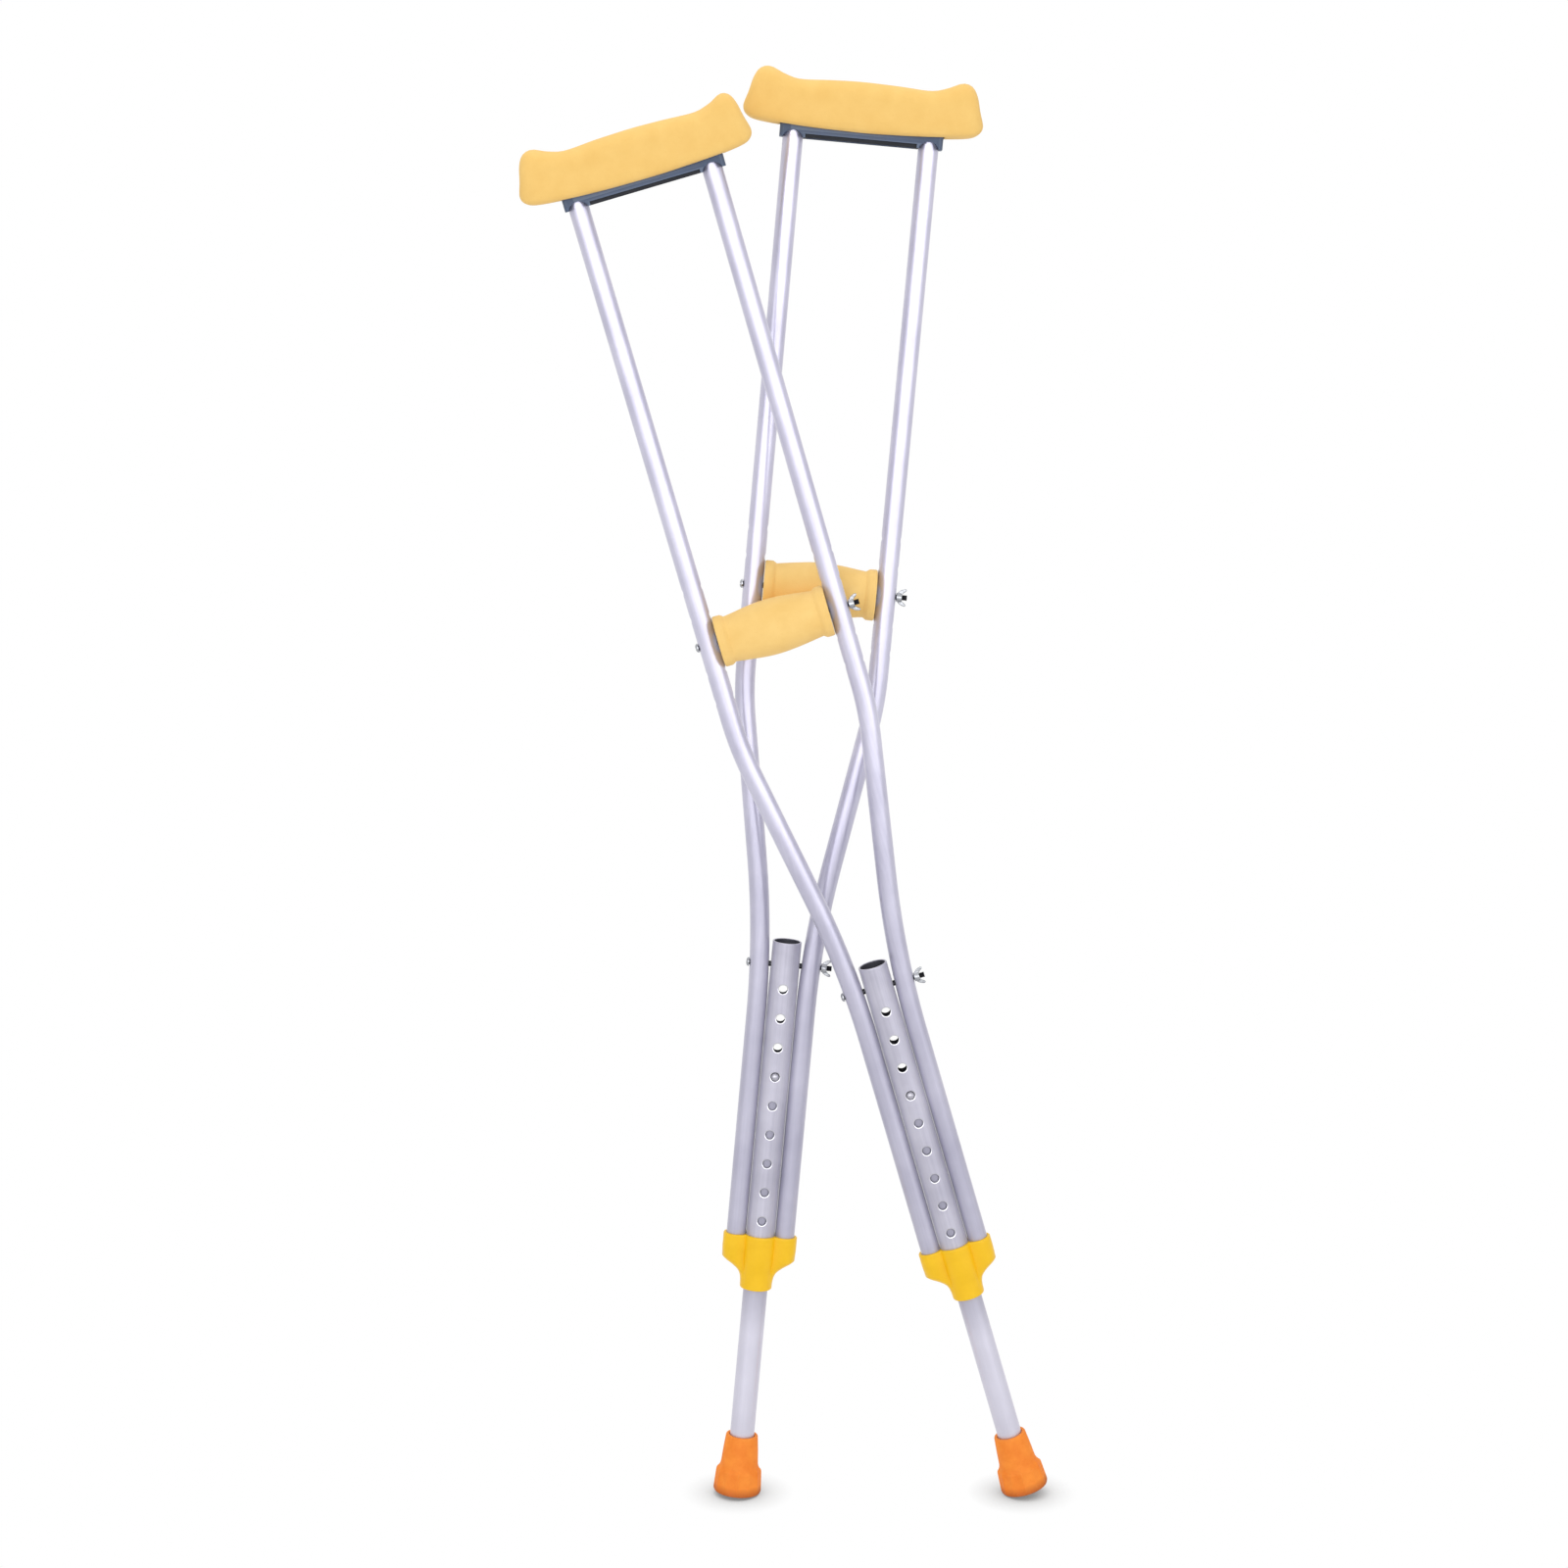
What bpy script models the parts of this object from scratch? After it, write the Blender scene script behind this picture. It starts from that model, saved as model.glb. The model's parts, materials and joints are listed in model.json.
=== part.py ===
# A pair of underarm crutches, standing crossed. Each crutch is built upright in its own
# frame: the sole's centre is the origin, +Z runs up the shaft, +X is across the frame and
# -Y is the side that the snap button faces. An empty then leans it into its place.
# Sizes are in millimetres; MM turns them into metres where a mesh is made.
import math

import bmesh
import bpy
from mathutils import Euler, Matrix, Vector

MM = 0.001

# Tubes: two uprights beside a centre tube, and the leg that slides inside it.
UPRIGHT_OD = 17.5
UPRIGHT_WALL = 1.2
CENTRE_OD = 26.0
CENTRE_WALL = 1.5
LEG_OD = 22.0
LEG_WALL = 1.2
TUBE_SIDES = 16
UPRIGHT_SIDES = 12

# Gap left between pieces that touch.
GAP = 0.3

# How far a cutter runs past the face that it leaves by.
OVERSHOOT = 5.0

# Heights along the shaft, measured from the sole.
FERRULE_HEIGHT = 53.3
COLLAR_Z = 192.5
BASE_HEIGHT = 50.0
MOUTH_Z = 513.0
BOLT_BELOW_MOUTH = 21.6
LOWER_BEND_Z = 517.0
UPPER_BEND_Z = 733.0
GRIP_Z = 827.3
SADDLE_Z = 1213.3

# Uprights: half the spacing between their centre lines beside the grip, and the radii of
# the two bends that bring them in to the centre tube.
UPRIGHT_X = 58.4
UPPER_BEND_R = 300.0
LOWER_BEND_R = 850.0
BEND_STEPS = 4
GRIP_HOLE_PITCH = 25.0
GRIP_HOLE_STEPS = 2

# Length adjustment: a row of holes through the centre tube, front to back.
HOLE_COUNT = 9
HOLE_BELOW_BOLT = 20.0
HOLE_PITCH = 26.7
HOLE_D = 8.0
BUTTON_HOLE_INDEX = 3
BUTTON_D = 7.0
BUTTON_STAND = 2.2
BUTTON_DOME = 2.6
BUTTON_RIM = 1.3
BUTTON_RIM_THICK = 1.2
SPRING_THICK = 0.8
SPRING_WIDTH = 5.0
SPRING_LEG = 30.0
SPRING_BACK_GAP = 0.7
LEG_ABOVE_BUTTON = 13.0

# Bolts and wing nuts.
BOLT_D = 5.0
HEAD_D = 7.8
HEAD_THICK = 2.7
BOLT_STAND = 9.4
NUT_HUB_D = 8.0
NUT_HUB_H = 5.0
NUT_SPAN = 15.4
NUT_HEIGHT = 9.0
NUT_WING_THICK = 2.0

# Soft and moulded pieces.
PAD_HALF = 103.0
PAD_DEPTH = 44.0
PAD_ROUND = 5.0
PAD_BOTTOM = 7.5
PAD_TOP = 51.3
PAD_DIP = 2.2
PAD_BUMP = 6.4
PAD_NOSE = 15.0
BRACKET_WALL = 3.0
BRACKET_HEIGHT = 36.0
BRACKET_ROUND = 4.0
ARCH_RISE = 6.0
GRIP_BELLY_D = 48.4
GRIP_NECK_D = 41.0
GRIP_FLANGE_D = 44.4
GRIP_FLANGE_WIDTH = 6.0
GRIP_NECK_IN = 10.5
GRIP_EDGE = 1.6
CORE_OD = 20.0
BASE_WALL = 2.3
COLLAR_D = 28.8
COLLAR_CLEARANCE = 0.5
LEDGE_RISE = 14.5
POCKET_DEPTH = 16.5
FERRULE_TOP_D = 29.2
FERRULE_FOOT_D = 43.4
FERRULE_FLOOR = 8.0
FERRULE_EDGE = 1.2
WASHER_THICK = 1.5
WASHER_HOLE_D = 8.0

# Where the two feet stand on the floor.
FRONT_FOOT_X = 210.98
REAR_FOOT_X = -52.12
FEET_Y = -14.54

# How each crutch leans, in degrees: to -X, to +Y, and turned about its own shaft.
LEAN_ANGLES = {"front": (16.08, -1.0, 2.0), "rear": (-5.14, 2.4, 0.1)}

# Colours (linear), roughness and metallic value of each material.
LOOKS = {
    "foam": ((0.91, 0.58, 0.18), 0.85, 0.0),
    "grip_foam": ((0.96, 0.62, 0.19), 0.8, 0.0),
    "slate_plastic": ((0.07, 0.10, 0.17), 0.55, 0.0),
    "yellow_plastic": ((0.94, 0.52, 0.025), 0.4, 0.0),
    "white_plastic": ((0.75, 0.75, 0.72), 0.5, 0.0),
    "aluminium": ((0.72, 0.71, 0.78), 0.28, 1.0),
    "zinc_steel": ((0.62, 0.62, 0.64), 0.3, 1.0),
    "spring_steel": ((0.4, 0.4, 0.42), 0.35, 1.0),
    "orange_rubber": ((0.94, 0.26, 0.03), 0.7, 0.0),
}

# Sizes that follow from those above.
UPRIGHT_R = UPRIGHT_OD / 2
CENTRE_R = CENTRE_OD / 2
LEG_R = LEG_OD / 2
BOLT_R = BOLT_D / 2
SIDE_X = CENTRE_R + UPRIGHT_R + GAP
SLANT = math.atan2(UPRIGHT_X - SIDE_X, UPPER_BEND_Z - LOWER_BEND_Z)
FRAME_BOLT_Z = MOUTH_Z - BOLT_BELOW_MOUTH
HOLE_TOP_Z = FRAME_BOLT_Z - HOLE_BELOW_BOLT
BUTTON_Z = HOLE_TOP_Z - BUTTON_HOLE_INDEX * HOLE_PITCH
LEG_TOP_Z = BUTTON_Z + LEG_ABOVE_BUTTON
BASE_TOP_Z = COLLAR_Z + BASE_HEIGHT
LEDGE_Z = COLLAR_Z + LEDGE_RISE
POCKET_Z = BASE_TOP_Z - POCKET_DEPTH
BRACKET_HALF = UPRIGHT_X + UPRIGHT_R + BRACKET_WALL
BRACKET_DEPTH = UPRIGHT_OD + 2 * (GAP + BRACKET_WALL)
UPRIGHT_TOP_Z = SADDLE_Z + BRACKET_HEIGHT - BRACKET_WALL - 2 * GAP
SOLE_R = FERRULE_FOOT_D / 2 - FERRULE_EDGE
FEET_X = {"front": FRONT_FOOT_X, "rear": REAR_FOOT_X}


def wipe():
    """Take away whatever the file already holds."""
    for old in list(bpy.data.objects):
        bpy.data.objects.remove(old, do_unlink=True)


def collection(name):
    made = bpy.data.collections.new(name)
    bpy.context.scene.collection.children.link(made)
    return made


def material(name, look):
    colour, roughness, metallic = LOOKS[look]
    made = bpy.data.materials.new(name)
    made.use_nodes = True
    shader = made.node_tree.nodes["Principled BSDF"]
    shader.inputs["Base Color"].default_value = (*colour, 1.0)
    shader.inputs["Roughness"].default_value = roughness
    shader.inputs["Metallic"].default_value = metallic
    made.diffuse_color = (*colour, 1.0)
    return made


def place(data, name, rig, at=(0, 0, 0), turn=None, cutter=False):
    """Put a mesh or curve on a crutch's empty, as a piece or as a hidden cutter."""
    made = bpy.data.objects.new(name, data)
    (CUTTERS if cutter else PIECES).objects.link(made)
    made.parent = rig
    made.location = Vector(at) * MM
    made.rotation_euler = turn or Euler((0, 0, 0))
    if cutter:
        made.hide_render = True
        made.display_type = "WIRE"
    return made


def finish(piece, look, smooth=40):
    piece.data.materials.clear()
    piece.data.materials.append(material(piece.name, look))
    piece.data.shade_smooth()
    piece.data.set_sharp_from_angle(angle=math.radians(smooth))
    return piece


def boolean(piece, cutter, operation="DIFFERENCE"):
    made = piece.modifiers.new(cutter.name, "BOOLEAN")
    made.operation = operation
    made.solver = "EXACT"
    made.object = cutter


def meshed(curve_object):
    """Turn a curve object into a welded mesh object of the same name and place."""
    bpy.context.view_layer.update()
    graph = bpy.context.evaluated_depsgraph_get()
    mesh = bpy.data.meshes.new_from_object(curve_object.evaluated_get(graph))
    form = bmesh.new()
    form.from_mesh(mesh)
    bmesh.ops.remove_doubles(form, verts=form.verts, dist=1e-6)
    bmesh.ops.dissolve_limit(form, angle_limit=0.001, verts=form.verts, edges=form.edges)
    bmesh.ops.recalc_face_normals(form, faces=form.faces)
    form.to_mesh(mesh)
    form.free()
    name = curve_object.name
    home = curve_object.users_collection[0]
    made = bpy.data.objects.new(name + "_mesh", mesh)
    home.objects.link(made)
    made.parent = curve_object.parent
    made.location = curve_object.location
    made.rotation_euler = curve_object.rotation_euler
    made.hide_render = curve_object.hide_render
    made.display_type = curve_object.display_type
    bpy.data.objects.remove(curve_object, do_unlink=True)
    made.name = name
    mesh.name = name
    return made


def rod(name, points, radius, rig, cutter=False, sides=TUBE_SIDES):
    """A round bar along a run of points, from a bevelled curve with closed ends."""
    curve = bpy.data.curves.new(name, "CURVE")
    curve.dimensions = "3D"
    curve.bevel_depth = radius * MM
    curve.bevel_resolution = (sides - 4) // 2
    curve.use_fill_caps = True
    line = curve.splines.new("POLY")
    line.points.add(len(points) - 1)
    for knot, point in zip(line.points, points):
        knot.co = (*(Vector(point) * MM), 1.0)
    return meshed(place(curve, name, rig, cutter=cutter))


def sheet(name, outline, thick, rig, at=(0, 0, 0), turn=None, cutter=False, rounding=0.0):
    """A flat outline in its own XY plane, given thickness and, if asked, rounded edges."""
    curve = bpy.data.curves.new(name, "CURVE")
    curve.dimensions = "2D"
    curve.fill_mode = "BOTH"
    curve.extrude = (thick / 2 - rounding) * MM
    curve.bevel_depth = rounding * MM
    curve.bevel_resolution = 1
    curve.offset = -rounding * MM
    line = curve.splines.new("POLY")
    line.points.add(len(outline) - 1)
    for knot, (across, up) in zip(line.points, outline):
        knot.co = (across * MM, up * MM, 0.0, 1.0)
    line.use_cyclic_u = True
    return meshed(place(curve, name, rig, at, turn, cutter))


def turned(name, profile, rig, at, turn=None, loop=False, steps=24):
    """A shape turned about its own Z from a profile of (radius, height), top to bottom."""
    mesh = bpy.data.meshes.new(name)
    points = [(radius * MM, 0.0, height * MM) for radius, height in profile]
    edges = [(i, i + 1) for i in range(len(points) - 1)]
    if loop:
        edges.append((len(points) - 1, 0))
    mesh.from_pydata(points, edges, [])
    made = place(mesh, name, rig, at, turn)
    screw = made.modifiers.new("turn", "SCREW")
    screw.axis = "Z"
    screw.angle = math.tau
    screw.steps = steps
    screw.render_steps = steps
    screw.use_merge_vertices = True
    screw.merge_threshold = 1e-5
    screw.use_smooth_shade = True
    return made


def pins(name, rig, runs, sides=8):
    """One cutter made of several round pins, each (start, end, radius)."""
    form = bmesh.new()
    for start, end, radius in runs:
        start, end = Vector(start), Vector(end)
        along = end - start
        turn = Vector((0, 0, 1)).rotation_difference(along).to_matrix().to_4x4()
        roll = Matrix.Rotation(math.pi / sides, 4, "Z")
        spot = Matrix.Translation((start + end) / 2 * MM) @ turn @ roll
        bmesh.ops.create_cone(
            form,
            cap_ends=True,
            segments=sides,
            radius1=radius * MM,
            radius2=radius * MM,
            depth=along.length * MM,
            matrix=spot,
        )
    mesh = bpy.data.meshes.new(name)
    form.to_mesh(mesh)
    form.free()
    return place(mesh, name, rig, cutter=True)


def block(name, rig, low, high, cutter=False, bevel=0.0, upright_only=False):
    """A box between two corners, with its edges rounded if asked."""
    low, high = Vector(low), Vector(high)
    form = bmesh.new()
    bmesh.ops.create_cube(form, size=1.0)
    bmesh.ops.scale(form, vec=(high - low) * MM, verts=form.verts)
    if bevel:
        edges = form.edges
        if upright_only:
            edges = [e for e in form.edges if abs(e.verts[0].co.z - e.verts[1].co.z) > 1e-6]
        bmesh.ops.bevel(
            form, geom=list(edges), offset=bevel * MM, segments=3, profile=0.5, affect="EDGES"
        )
    mesh = bpy.data.meshes.new(name)
    form.to_mesh(mesh)
    form.free()
    return place(mesh, name, rig, (low + high) / 2, cutter=cutter)


def arc(centre, radius, start, end, steps):
    """Points of an arc in a plane, from one angle to another."""
    points = []
    for i in range(steps + 1):
        angle = start + (end - start) * i / steps
        points.append(
            (centre[0] + radius * math.cos(angle), centre[1] + radius * math.sin(angle))
        )
    return points


def upright_line(side, low, high):
    """Centre line of an upright: straight beside the grip, then in to the centre tube."""
    reach_up = UPPER_BEND_R * math.tan(SLANT / 2)
    reach_low = LOWER_BEND_R * math.tan(SLANT / 2)
    upper = (UPRIGHT_X - UPPER_BEND_R, UPPER_BEND_Z + reach_up)
    lower = (SIDE_X + LOWER_BEND_R, LOWER_BEND_Z - reach_low)
    line = [(UPRIGHT_X, high)]
    line += arc(upper, UPPER_BEND_R, 0.0, -SLANT, BEND_STEPS)
    line += arc(lower, LOWER_BEND_R, math.pi - SLANT, math.pi, BEND_STEPS)
    line.append((SIDE_X, low))
    return [(side * across, 0.0, up) for across, up in line]


def upright_x(height):
    """How far out an upright's centre line is at a height."""
    line = upright_line(1, 0.0, SADDLE_Z + BRACKET_HEIGHT)
    for (x0, _, z0), (x1, _, z1) in zip(line, line[1:]):
        if z1 <= height <= z0:
            return x1 + (x0 - x1) * (height - z1) / max(z0 - z1, 1e-9)
    return SIDE_X


def hole_heights():
    return [HOLE_TOP_Z - i * HOLE_PITCH for i in range(HOLE_COUNT)]


def mirrored(half):
    """A closed outline from its right half, listed from the middle top to the middle bottom."""
    return half + [(-across, up) for across, up in reversed(half[1:-1])]


def smoothed(points, cuts):
    """A closed run of points with a smooth curve passed through it."""
    count = len(points)
    out = []
    for i in range(count):
        before, here = Vector(points[i - 1]), Vector(points[i])
        after, beyond = Vector(points[(i + 1) % count]), Vector(points[(i + 2) % count])
        for step in range(cuts):
            t = step / cuts
            spot = 0.5 * (
                2 * here
                + (after - before) * t
                + (2 * before - 5 * here + 4 * after - beyond) * t * t
                + (3 * here - before - 3 * after + beyond) * t**3
            )
            out.append(tuple(spot))
    return out


TO_X = Euler((0, math.radians(90), 0))
TO_FRONT = Euler((math.radians(90), 0, 0))
TO_SIDE = Matrix(((0, 0, 1), (1, 0, 0), (0, 1, 0))).to_euler()


def pad_and_bracket(side, rig):
    """The underarm pad, and the moulded saddle that it is slipped over."""
    half = [
        (0.0, PAD_TOP),
        (0.27 * PAD_HALF, PAD_TOP - 0.32 * PAD_DIP),
        (0.54 * PAD_HALF, PAD_TOP - PAD_DIP),
        (0.68 * PAD_HALF, PAD_TOP + 0.2 * PAD_BUMP),
        (0.80 * PAD_HALF, PAD_TOP + PAD_BUMP),
        (0.885 * PAD_HALF, PAD_TOP + 0.66 * PAD_BUMP),
        (0.935 * PAD_HALF, PAD_TOP - 0.62 * PAD_BUMP),
        (0.965 * PAD_HALF, PAD_BOTTOM + 1.87 * PAD_NOSE),
        (PAD_HALF, PAD_BOTTOM + PAD_NOSE),
        (0.96 * PAD_HALF, PAD_BOTTOM + 0.52 * PAD_NOSE),
        (0.85 * PAD_HALF, PAD_BOTTOM + 0.29 * PAD_NOSE),
        (0.56 * PAD_HALF, PAD_BOTTOM + 0.12 * PAD_NOSE),
        (0.27 * PAD_HALF, PAD_BOTTOM + 0.03 * PAD_NOSE),
        (0.0, PAD_BOTTOM),
    ]
    outline = smoothed(mirrored(half), 2)
    pad = sheet(
        side + "_underarm_pad",
        outline,
        PAD_DEPTH,
        rig,
        at=(0, 0, SADDLE_Z),
        turn=TO_FRONT,
        rounding=PAD_ROUND,
    )
    deep = BRACKET_DEPTH / 2
    pocket = block(
        side + "_pad_pocket",
        rig,
        (-BRACKET_HALF - GAP, -deep - GAP, SADDLE_Z - OVERSHOOT),
        (BRACKET_HALF + GAP, deep + GAP, SADDLE_Z + BRACKET_HEIGHT + GAP),
        cutter=True,
    )
    boolean(pad, pocket)
    finish(pad, "foam")

    saddle = block(
        side + "_underarm_bracket",
        rig,
        (-BRACKET_HALF, -deep, SADDLE_Z),
        (BRACKET_HALF, deep, SADDLE_Z + BRACKET_HEIGHT),
        bevel=BRACKET_ROUND,
        upright_only=True,
    )
    inner = UPRIGHT_X - UPRIGHT_R - GAP - BRACKET_WALL
    channel = block(
        side + "_bracket_channel",
        rig,
        (-inner, -deep + BRACKET_WALL, SADDLE_Z - OVERSHOOT),
        (inner, deep - BRACKET_WALL, SADDLE_Z + BRACKET_HEIGHT - BRACKET_WALL),
        cutter=True,
    )
    boolean(saddle, channel)
    socket_top = SADDLE_Z + BRACKET_HEIGHT - BRACKET_WALL
    socket_r = UPRIGHT_R + GAP
    sockets = pins(
        side + "_bracket_sockets",
        rig,
        [((x, 0, SADDLE_Z - OVERSHOOT), (x, 0, socket_top), socket_r) for x in (-UPRIGHT_X, UPRIGHT_X)],
        sides=24,
    )
    boolean(saddle, sockets)
    arch_z = SADDLE_Z + ARCH_RISE - socket_r
    past = deep + OVERSHOOT
    arches = pins(
        side + "_bracket_arches",
        rig,
        [((x, -past, arch_z), (x, past, arch_z), socket_r) for x in (-UPRIGHT_X, UPRIGHT_X)],
        sides=20,
    )
    boolean(saddle, arches)
    finish(saddle, "slate_plastic")


def uprights(side, rig):
    """Two bent tubes, drilled for the frame bolt and for a choice of grip heights."""
    for word, sign in (("left", -1), ("right", 1)):
        low = POCKET_Z + GAP
        tube = rod(
            f"{side}_{word}_upright",
            upright_line(sign, low, UPRIGHT_TOP_Z),
            UPRIGHT_R,
            rig,
            sides=UPRIGHT_SIDES,
        )
        bore = rod(
            f"{side}_{word}_upright_bore",
            upright_line(sign, low - OVERSHOOT, UPRIGHT_TOP_Z + OVERSHOOT),
            UPRIGHT_R - UPRIGHT_WALL,
            rig,
            cutter=True,
            sides=UPRIGHT_SIDES,
        )
        boolean(tube, bore)
        heights = [FRAME_BOLT_Z]
        heights += [GRIP_Z + i * GRIP_HOLE_PITCH for i in range(-GRIP_HOLE_STEPS, GRIP_HOLE_STEPS + 1)]
        runs = []
        for height in heights:
            middle = sign * upright_x(height)
            reach = UPRIGHT_OD
            runs.append(((middle - reach, 0, height), (middle + reach, 0, height), BOLT_R + GAP))
        boolean(tube, pins(f"{side}_{word}_upright_drill", rig, runs, sides=8))
        finish(tube, "aluminium")


def centre_tube(side, rig):
    """The middle tube, with its row of holes and the frame bolt's hole across it."""
    low = (0, 0, LEDGE_Z + GAP)
    high = (0, 0, MOUTH_Z)
    tube = rod(side + "_centre_tube", [low, high], CENTRE_R, rig)
    bore = rod(
        side + "_centre_bore",
        [(0, 0, LEDGE_Z - OVERSHOOT), (0, 0, MOUTH_Z + OVERSHOOT)],
        CENTRE_R - CENTRE_WALL,
        rig,
        cutter=True,
    )
    boolean(tube, bore)
    runs = [((0, -CENTRE_OD, z), (0, CENTRE_OD, z), HOLE_D / 2) for z in hole_heights()]
    runs.append(((-CENTRE_OD, 0, FRAME_BOLT_Z), (CENTRE_OD, 0, FRAME_BOLT_Z), BOLT_R + GAP))
    boolean(tube, pins(side + "_centre_drill", rig, runs))
    finish(tube, "aluminium")


def bolt_and_nut(side, what, rig, height, out):
    """A round-headed bolt across the frame from the left, with a wing nut on its right end."""
    start = out + GAP
    length = 2 * start + BOLT_STAND
    head_r = HEAD_D / 2
    profile = [
        (0.0, length),
        (0.8 * BOLT_R, length),
        (BOLT_R, length - 0.24 * BOLT_R),
        (BOLT_R, 0.0),
        (head_r, 0.0),
        (head_r, -0.35 * HEAD_THICK),
        (0.8 * head_r, -0.78 * HEAD_THICK),
        (0.45 * head_r, -0.96 * HEAD_THICK),
        (0.0, -HEAD_THICK),
    ]
    bolt = turned(f"{side}_{what}_bolt", profile, rig, (-start, 0, height), TO_X, steps=14)
    finish(bolt, "zinc_steel")

    hub_r = NUT_HUB_D / 2
    form = bmesh.new()
    bmesh.ops.create_cone(
        form,
        cap_ends=True,
        segments=16,
        radius1=hub_r * MM,
        radius2=0.86 * hub_r * MM,
        depth=NUT_HUB_H * MM,
        matrix=Matrix.Translation((0, 0, NUT_HUB_H / 2 * MM)),
    )
    mesh = bpy.data.meshes.new(f"{side}_{what}_wing_nut")
    form.to_mesh(mesh)
    form.free()
    nut = place(mesh, mesh.name, rig, (start, 0, height), TO_X)
    tip = NUT_SPAN / 2
    wings = [
        (0.43 * tip, 0.067 * NUT_HEIGHT),
        (0.82 * tip, 0.43 * NUT_HEIGHT),
        (tip, 0.87 * NUT_HEIGHT),
        (0.87 * tip, NUT_HEIGHT),
        (0.70 * tip, 0.92 * NUT_HEIGHT),
        (0.40 * tip, 0.55 * NUT_HEIGHT),
    ]
    outline = wings + [(-across, up) for across, up in reversed(wings)]
    flat = Matrix.Rotation(math.radians(90), 4, "Y") @ Matrix.Rotation(math.radians(90), 4, "X")
    blades = sheet(
        f"{side}_{what}_nut_wings",
        outline,
        NUT_WING_THICK,
        rig,
        at=(start, 0, height),
        turn=flat.to_euler(),
        cutter=True,
    )
    boolean(nut, blades, "UNION")
    thread = pins(
        f"{side}_{what}_nut_thread",
        rig,
        [((start - OVERSHOOT, 0, height), (start + NUT_HEIGHT + OVERSHOOT, 0, height), BOLT_R + GAP)],
        sides=14,
    )
    boolean(nut, thread)
    finish(nut, "zinc_steel")


def handgrip(side, rig):
    """The foam barrel between the uprights, and the spacer tube that it turns with."""
    end = UPRIGHT_X - UPRIGHT_R - GAP
    belly, neck, flange = GRIP_BELLY_D / 2, GRIP_NECK_D / 2, GRIP_FLANGE_D / 2
    flange_end, neck_end = end - GRIP_FLANGE_WIDTH, end - GRIP_NECK_IN
    half = [
        (flange - 0.75 * GRIP_EDGE, end),
        (flange, end - GRIP_EDGE),
        (flange, flange_end),
        (0.6 * flange + 0.4 * neck, 0.55 * flange_end + 0.45 * neck_end),
        (neck, neck_end),
        (0.55 * neck + 0.45 * belly, 0.755 * neck_end),
        (0.15 * neck + 0.85 * belly, 0.395 * neck_end),
    ]
    bore = CORE_OD / 2 + GAP
    profile = half + [(belly, 0.0)] + [(r, -z) for r, z in reversed(half)]
    profile += [(bore, -end), (bore, end)]
    grip = turned(side + "_handgrip", profile, rig, (0, 0, GRIP_Z), TO_X, loop=True, steps=20)
    finish(grip, "grip_foam")
    hole = BOLT_R + GAP
    sleeve = [(CORE_OD / 2, end), (CORE_OD / 2, -end), (hole, -end), (hole, end)]
    core = turned(side + "_grip_core", sleeve, rig, (0, 0, GRIP_Z), TO_X, loop=True, steps=16)
    finish(core, "white_plastic")


def trefoil(angle):
    """Reach of the base bracket's outline at an angle: three tubes side by side in a wall."""
    middle = CENTRE_R + GAP + BASE_WALL
    lobe = UPRIGHT_R + GAP + BASE_WALL
    off = SIDE_X * math.sin(angle)
    if abs(off) >= lobe:
        return middle
    far = SIDE_X * abs(math.cos(angle)) + math.sqrt(lobe**2 - off**2)
    return (middle**8 + far**8) ** 0.125


def base_bracket(side, rig):
    """The moulded foot of the frame: a pocket for three tubes that narrows to a collar."""
    collar = COLLAR_D / 2
    rise = BASE_TOP_Z - COLLAR_Z
    stages = [(0.0, -0.03), (0.03, 0.0), (0.10, 0.01), (0.20, 0.07), (0.29, 0.24), (0.37, 0.51)]
    stages += [(0.45, 0.77), (0.54, 0.98), (0.57, 1.0), (0.98, 0.99), (1.0, 0.97)]
    count = 40
    form = bmesh.new()
    rings = []
    for part, spread in stages:
        ring = []
        for i in range(count):
            angle = math.tau * i / count
            reach = collar + (trefoil(angle) - collar) * spread
            spot = (reach * math.cos(angle), reach * math.sin(angle), COLLAR_Z + part * rise)
            ring.append(form.verts.new(Vector(spot) * MM))
        rings.append(ring)
    for lower, upper in zip(rings, rings[1:]):
        for i in range(count):
            j = (i + 1) % count
            form.faces.new((lower[i], lower[j], upper[j], upper[i]))
    form.faces.new(list(reversed(rings[0])))
    form.faces.new(rings[-1])
    mesh = bpy.data.meshes.new(side + "_base_bracket")
    form.to_mesh(mesh)
    form.free()
    base = place(mesh, mesh.name, rig)
    top = BASE_TOP_Z + OVERSHOOT
    through = pins(
        side + "_collar_bore",
        rig,
        [((0, 0, COLLAR_Z - OVERSHOOT), (0, 0, top), LEG_R + COLLAR_CLEARANCE)],
        sides=24,
    )
    boolean(base, through)
    middle = pins(
        side + "_base_pocket", rig, [((0, 0, LEDGE_Z), (0, 0, top), CENTRE_R + GAP)], sides=24
    )
    boolean(base, middle)
    for word, x in (("left", -SIDE_X), ("right", SIDE_X)):
        pocket = pins(
            f"{side}_{word}_pocket",
            rig,
            [((x, 0, POCKET_Z), (x, 0, top), UPRIGHT_R + GAP)],
            sides=24,
        )
        boolean(base, pocket)
    finish(base, "yellow_plastic")


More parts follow.
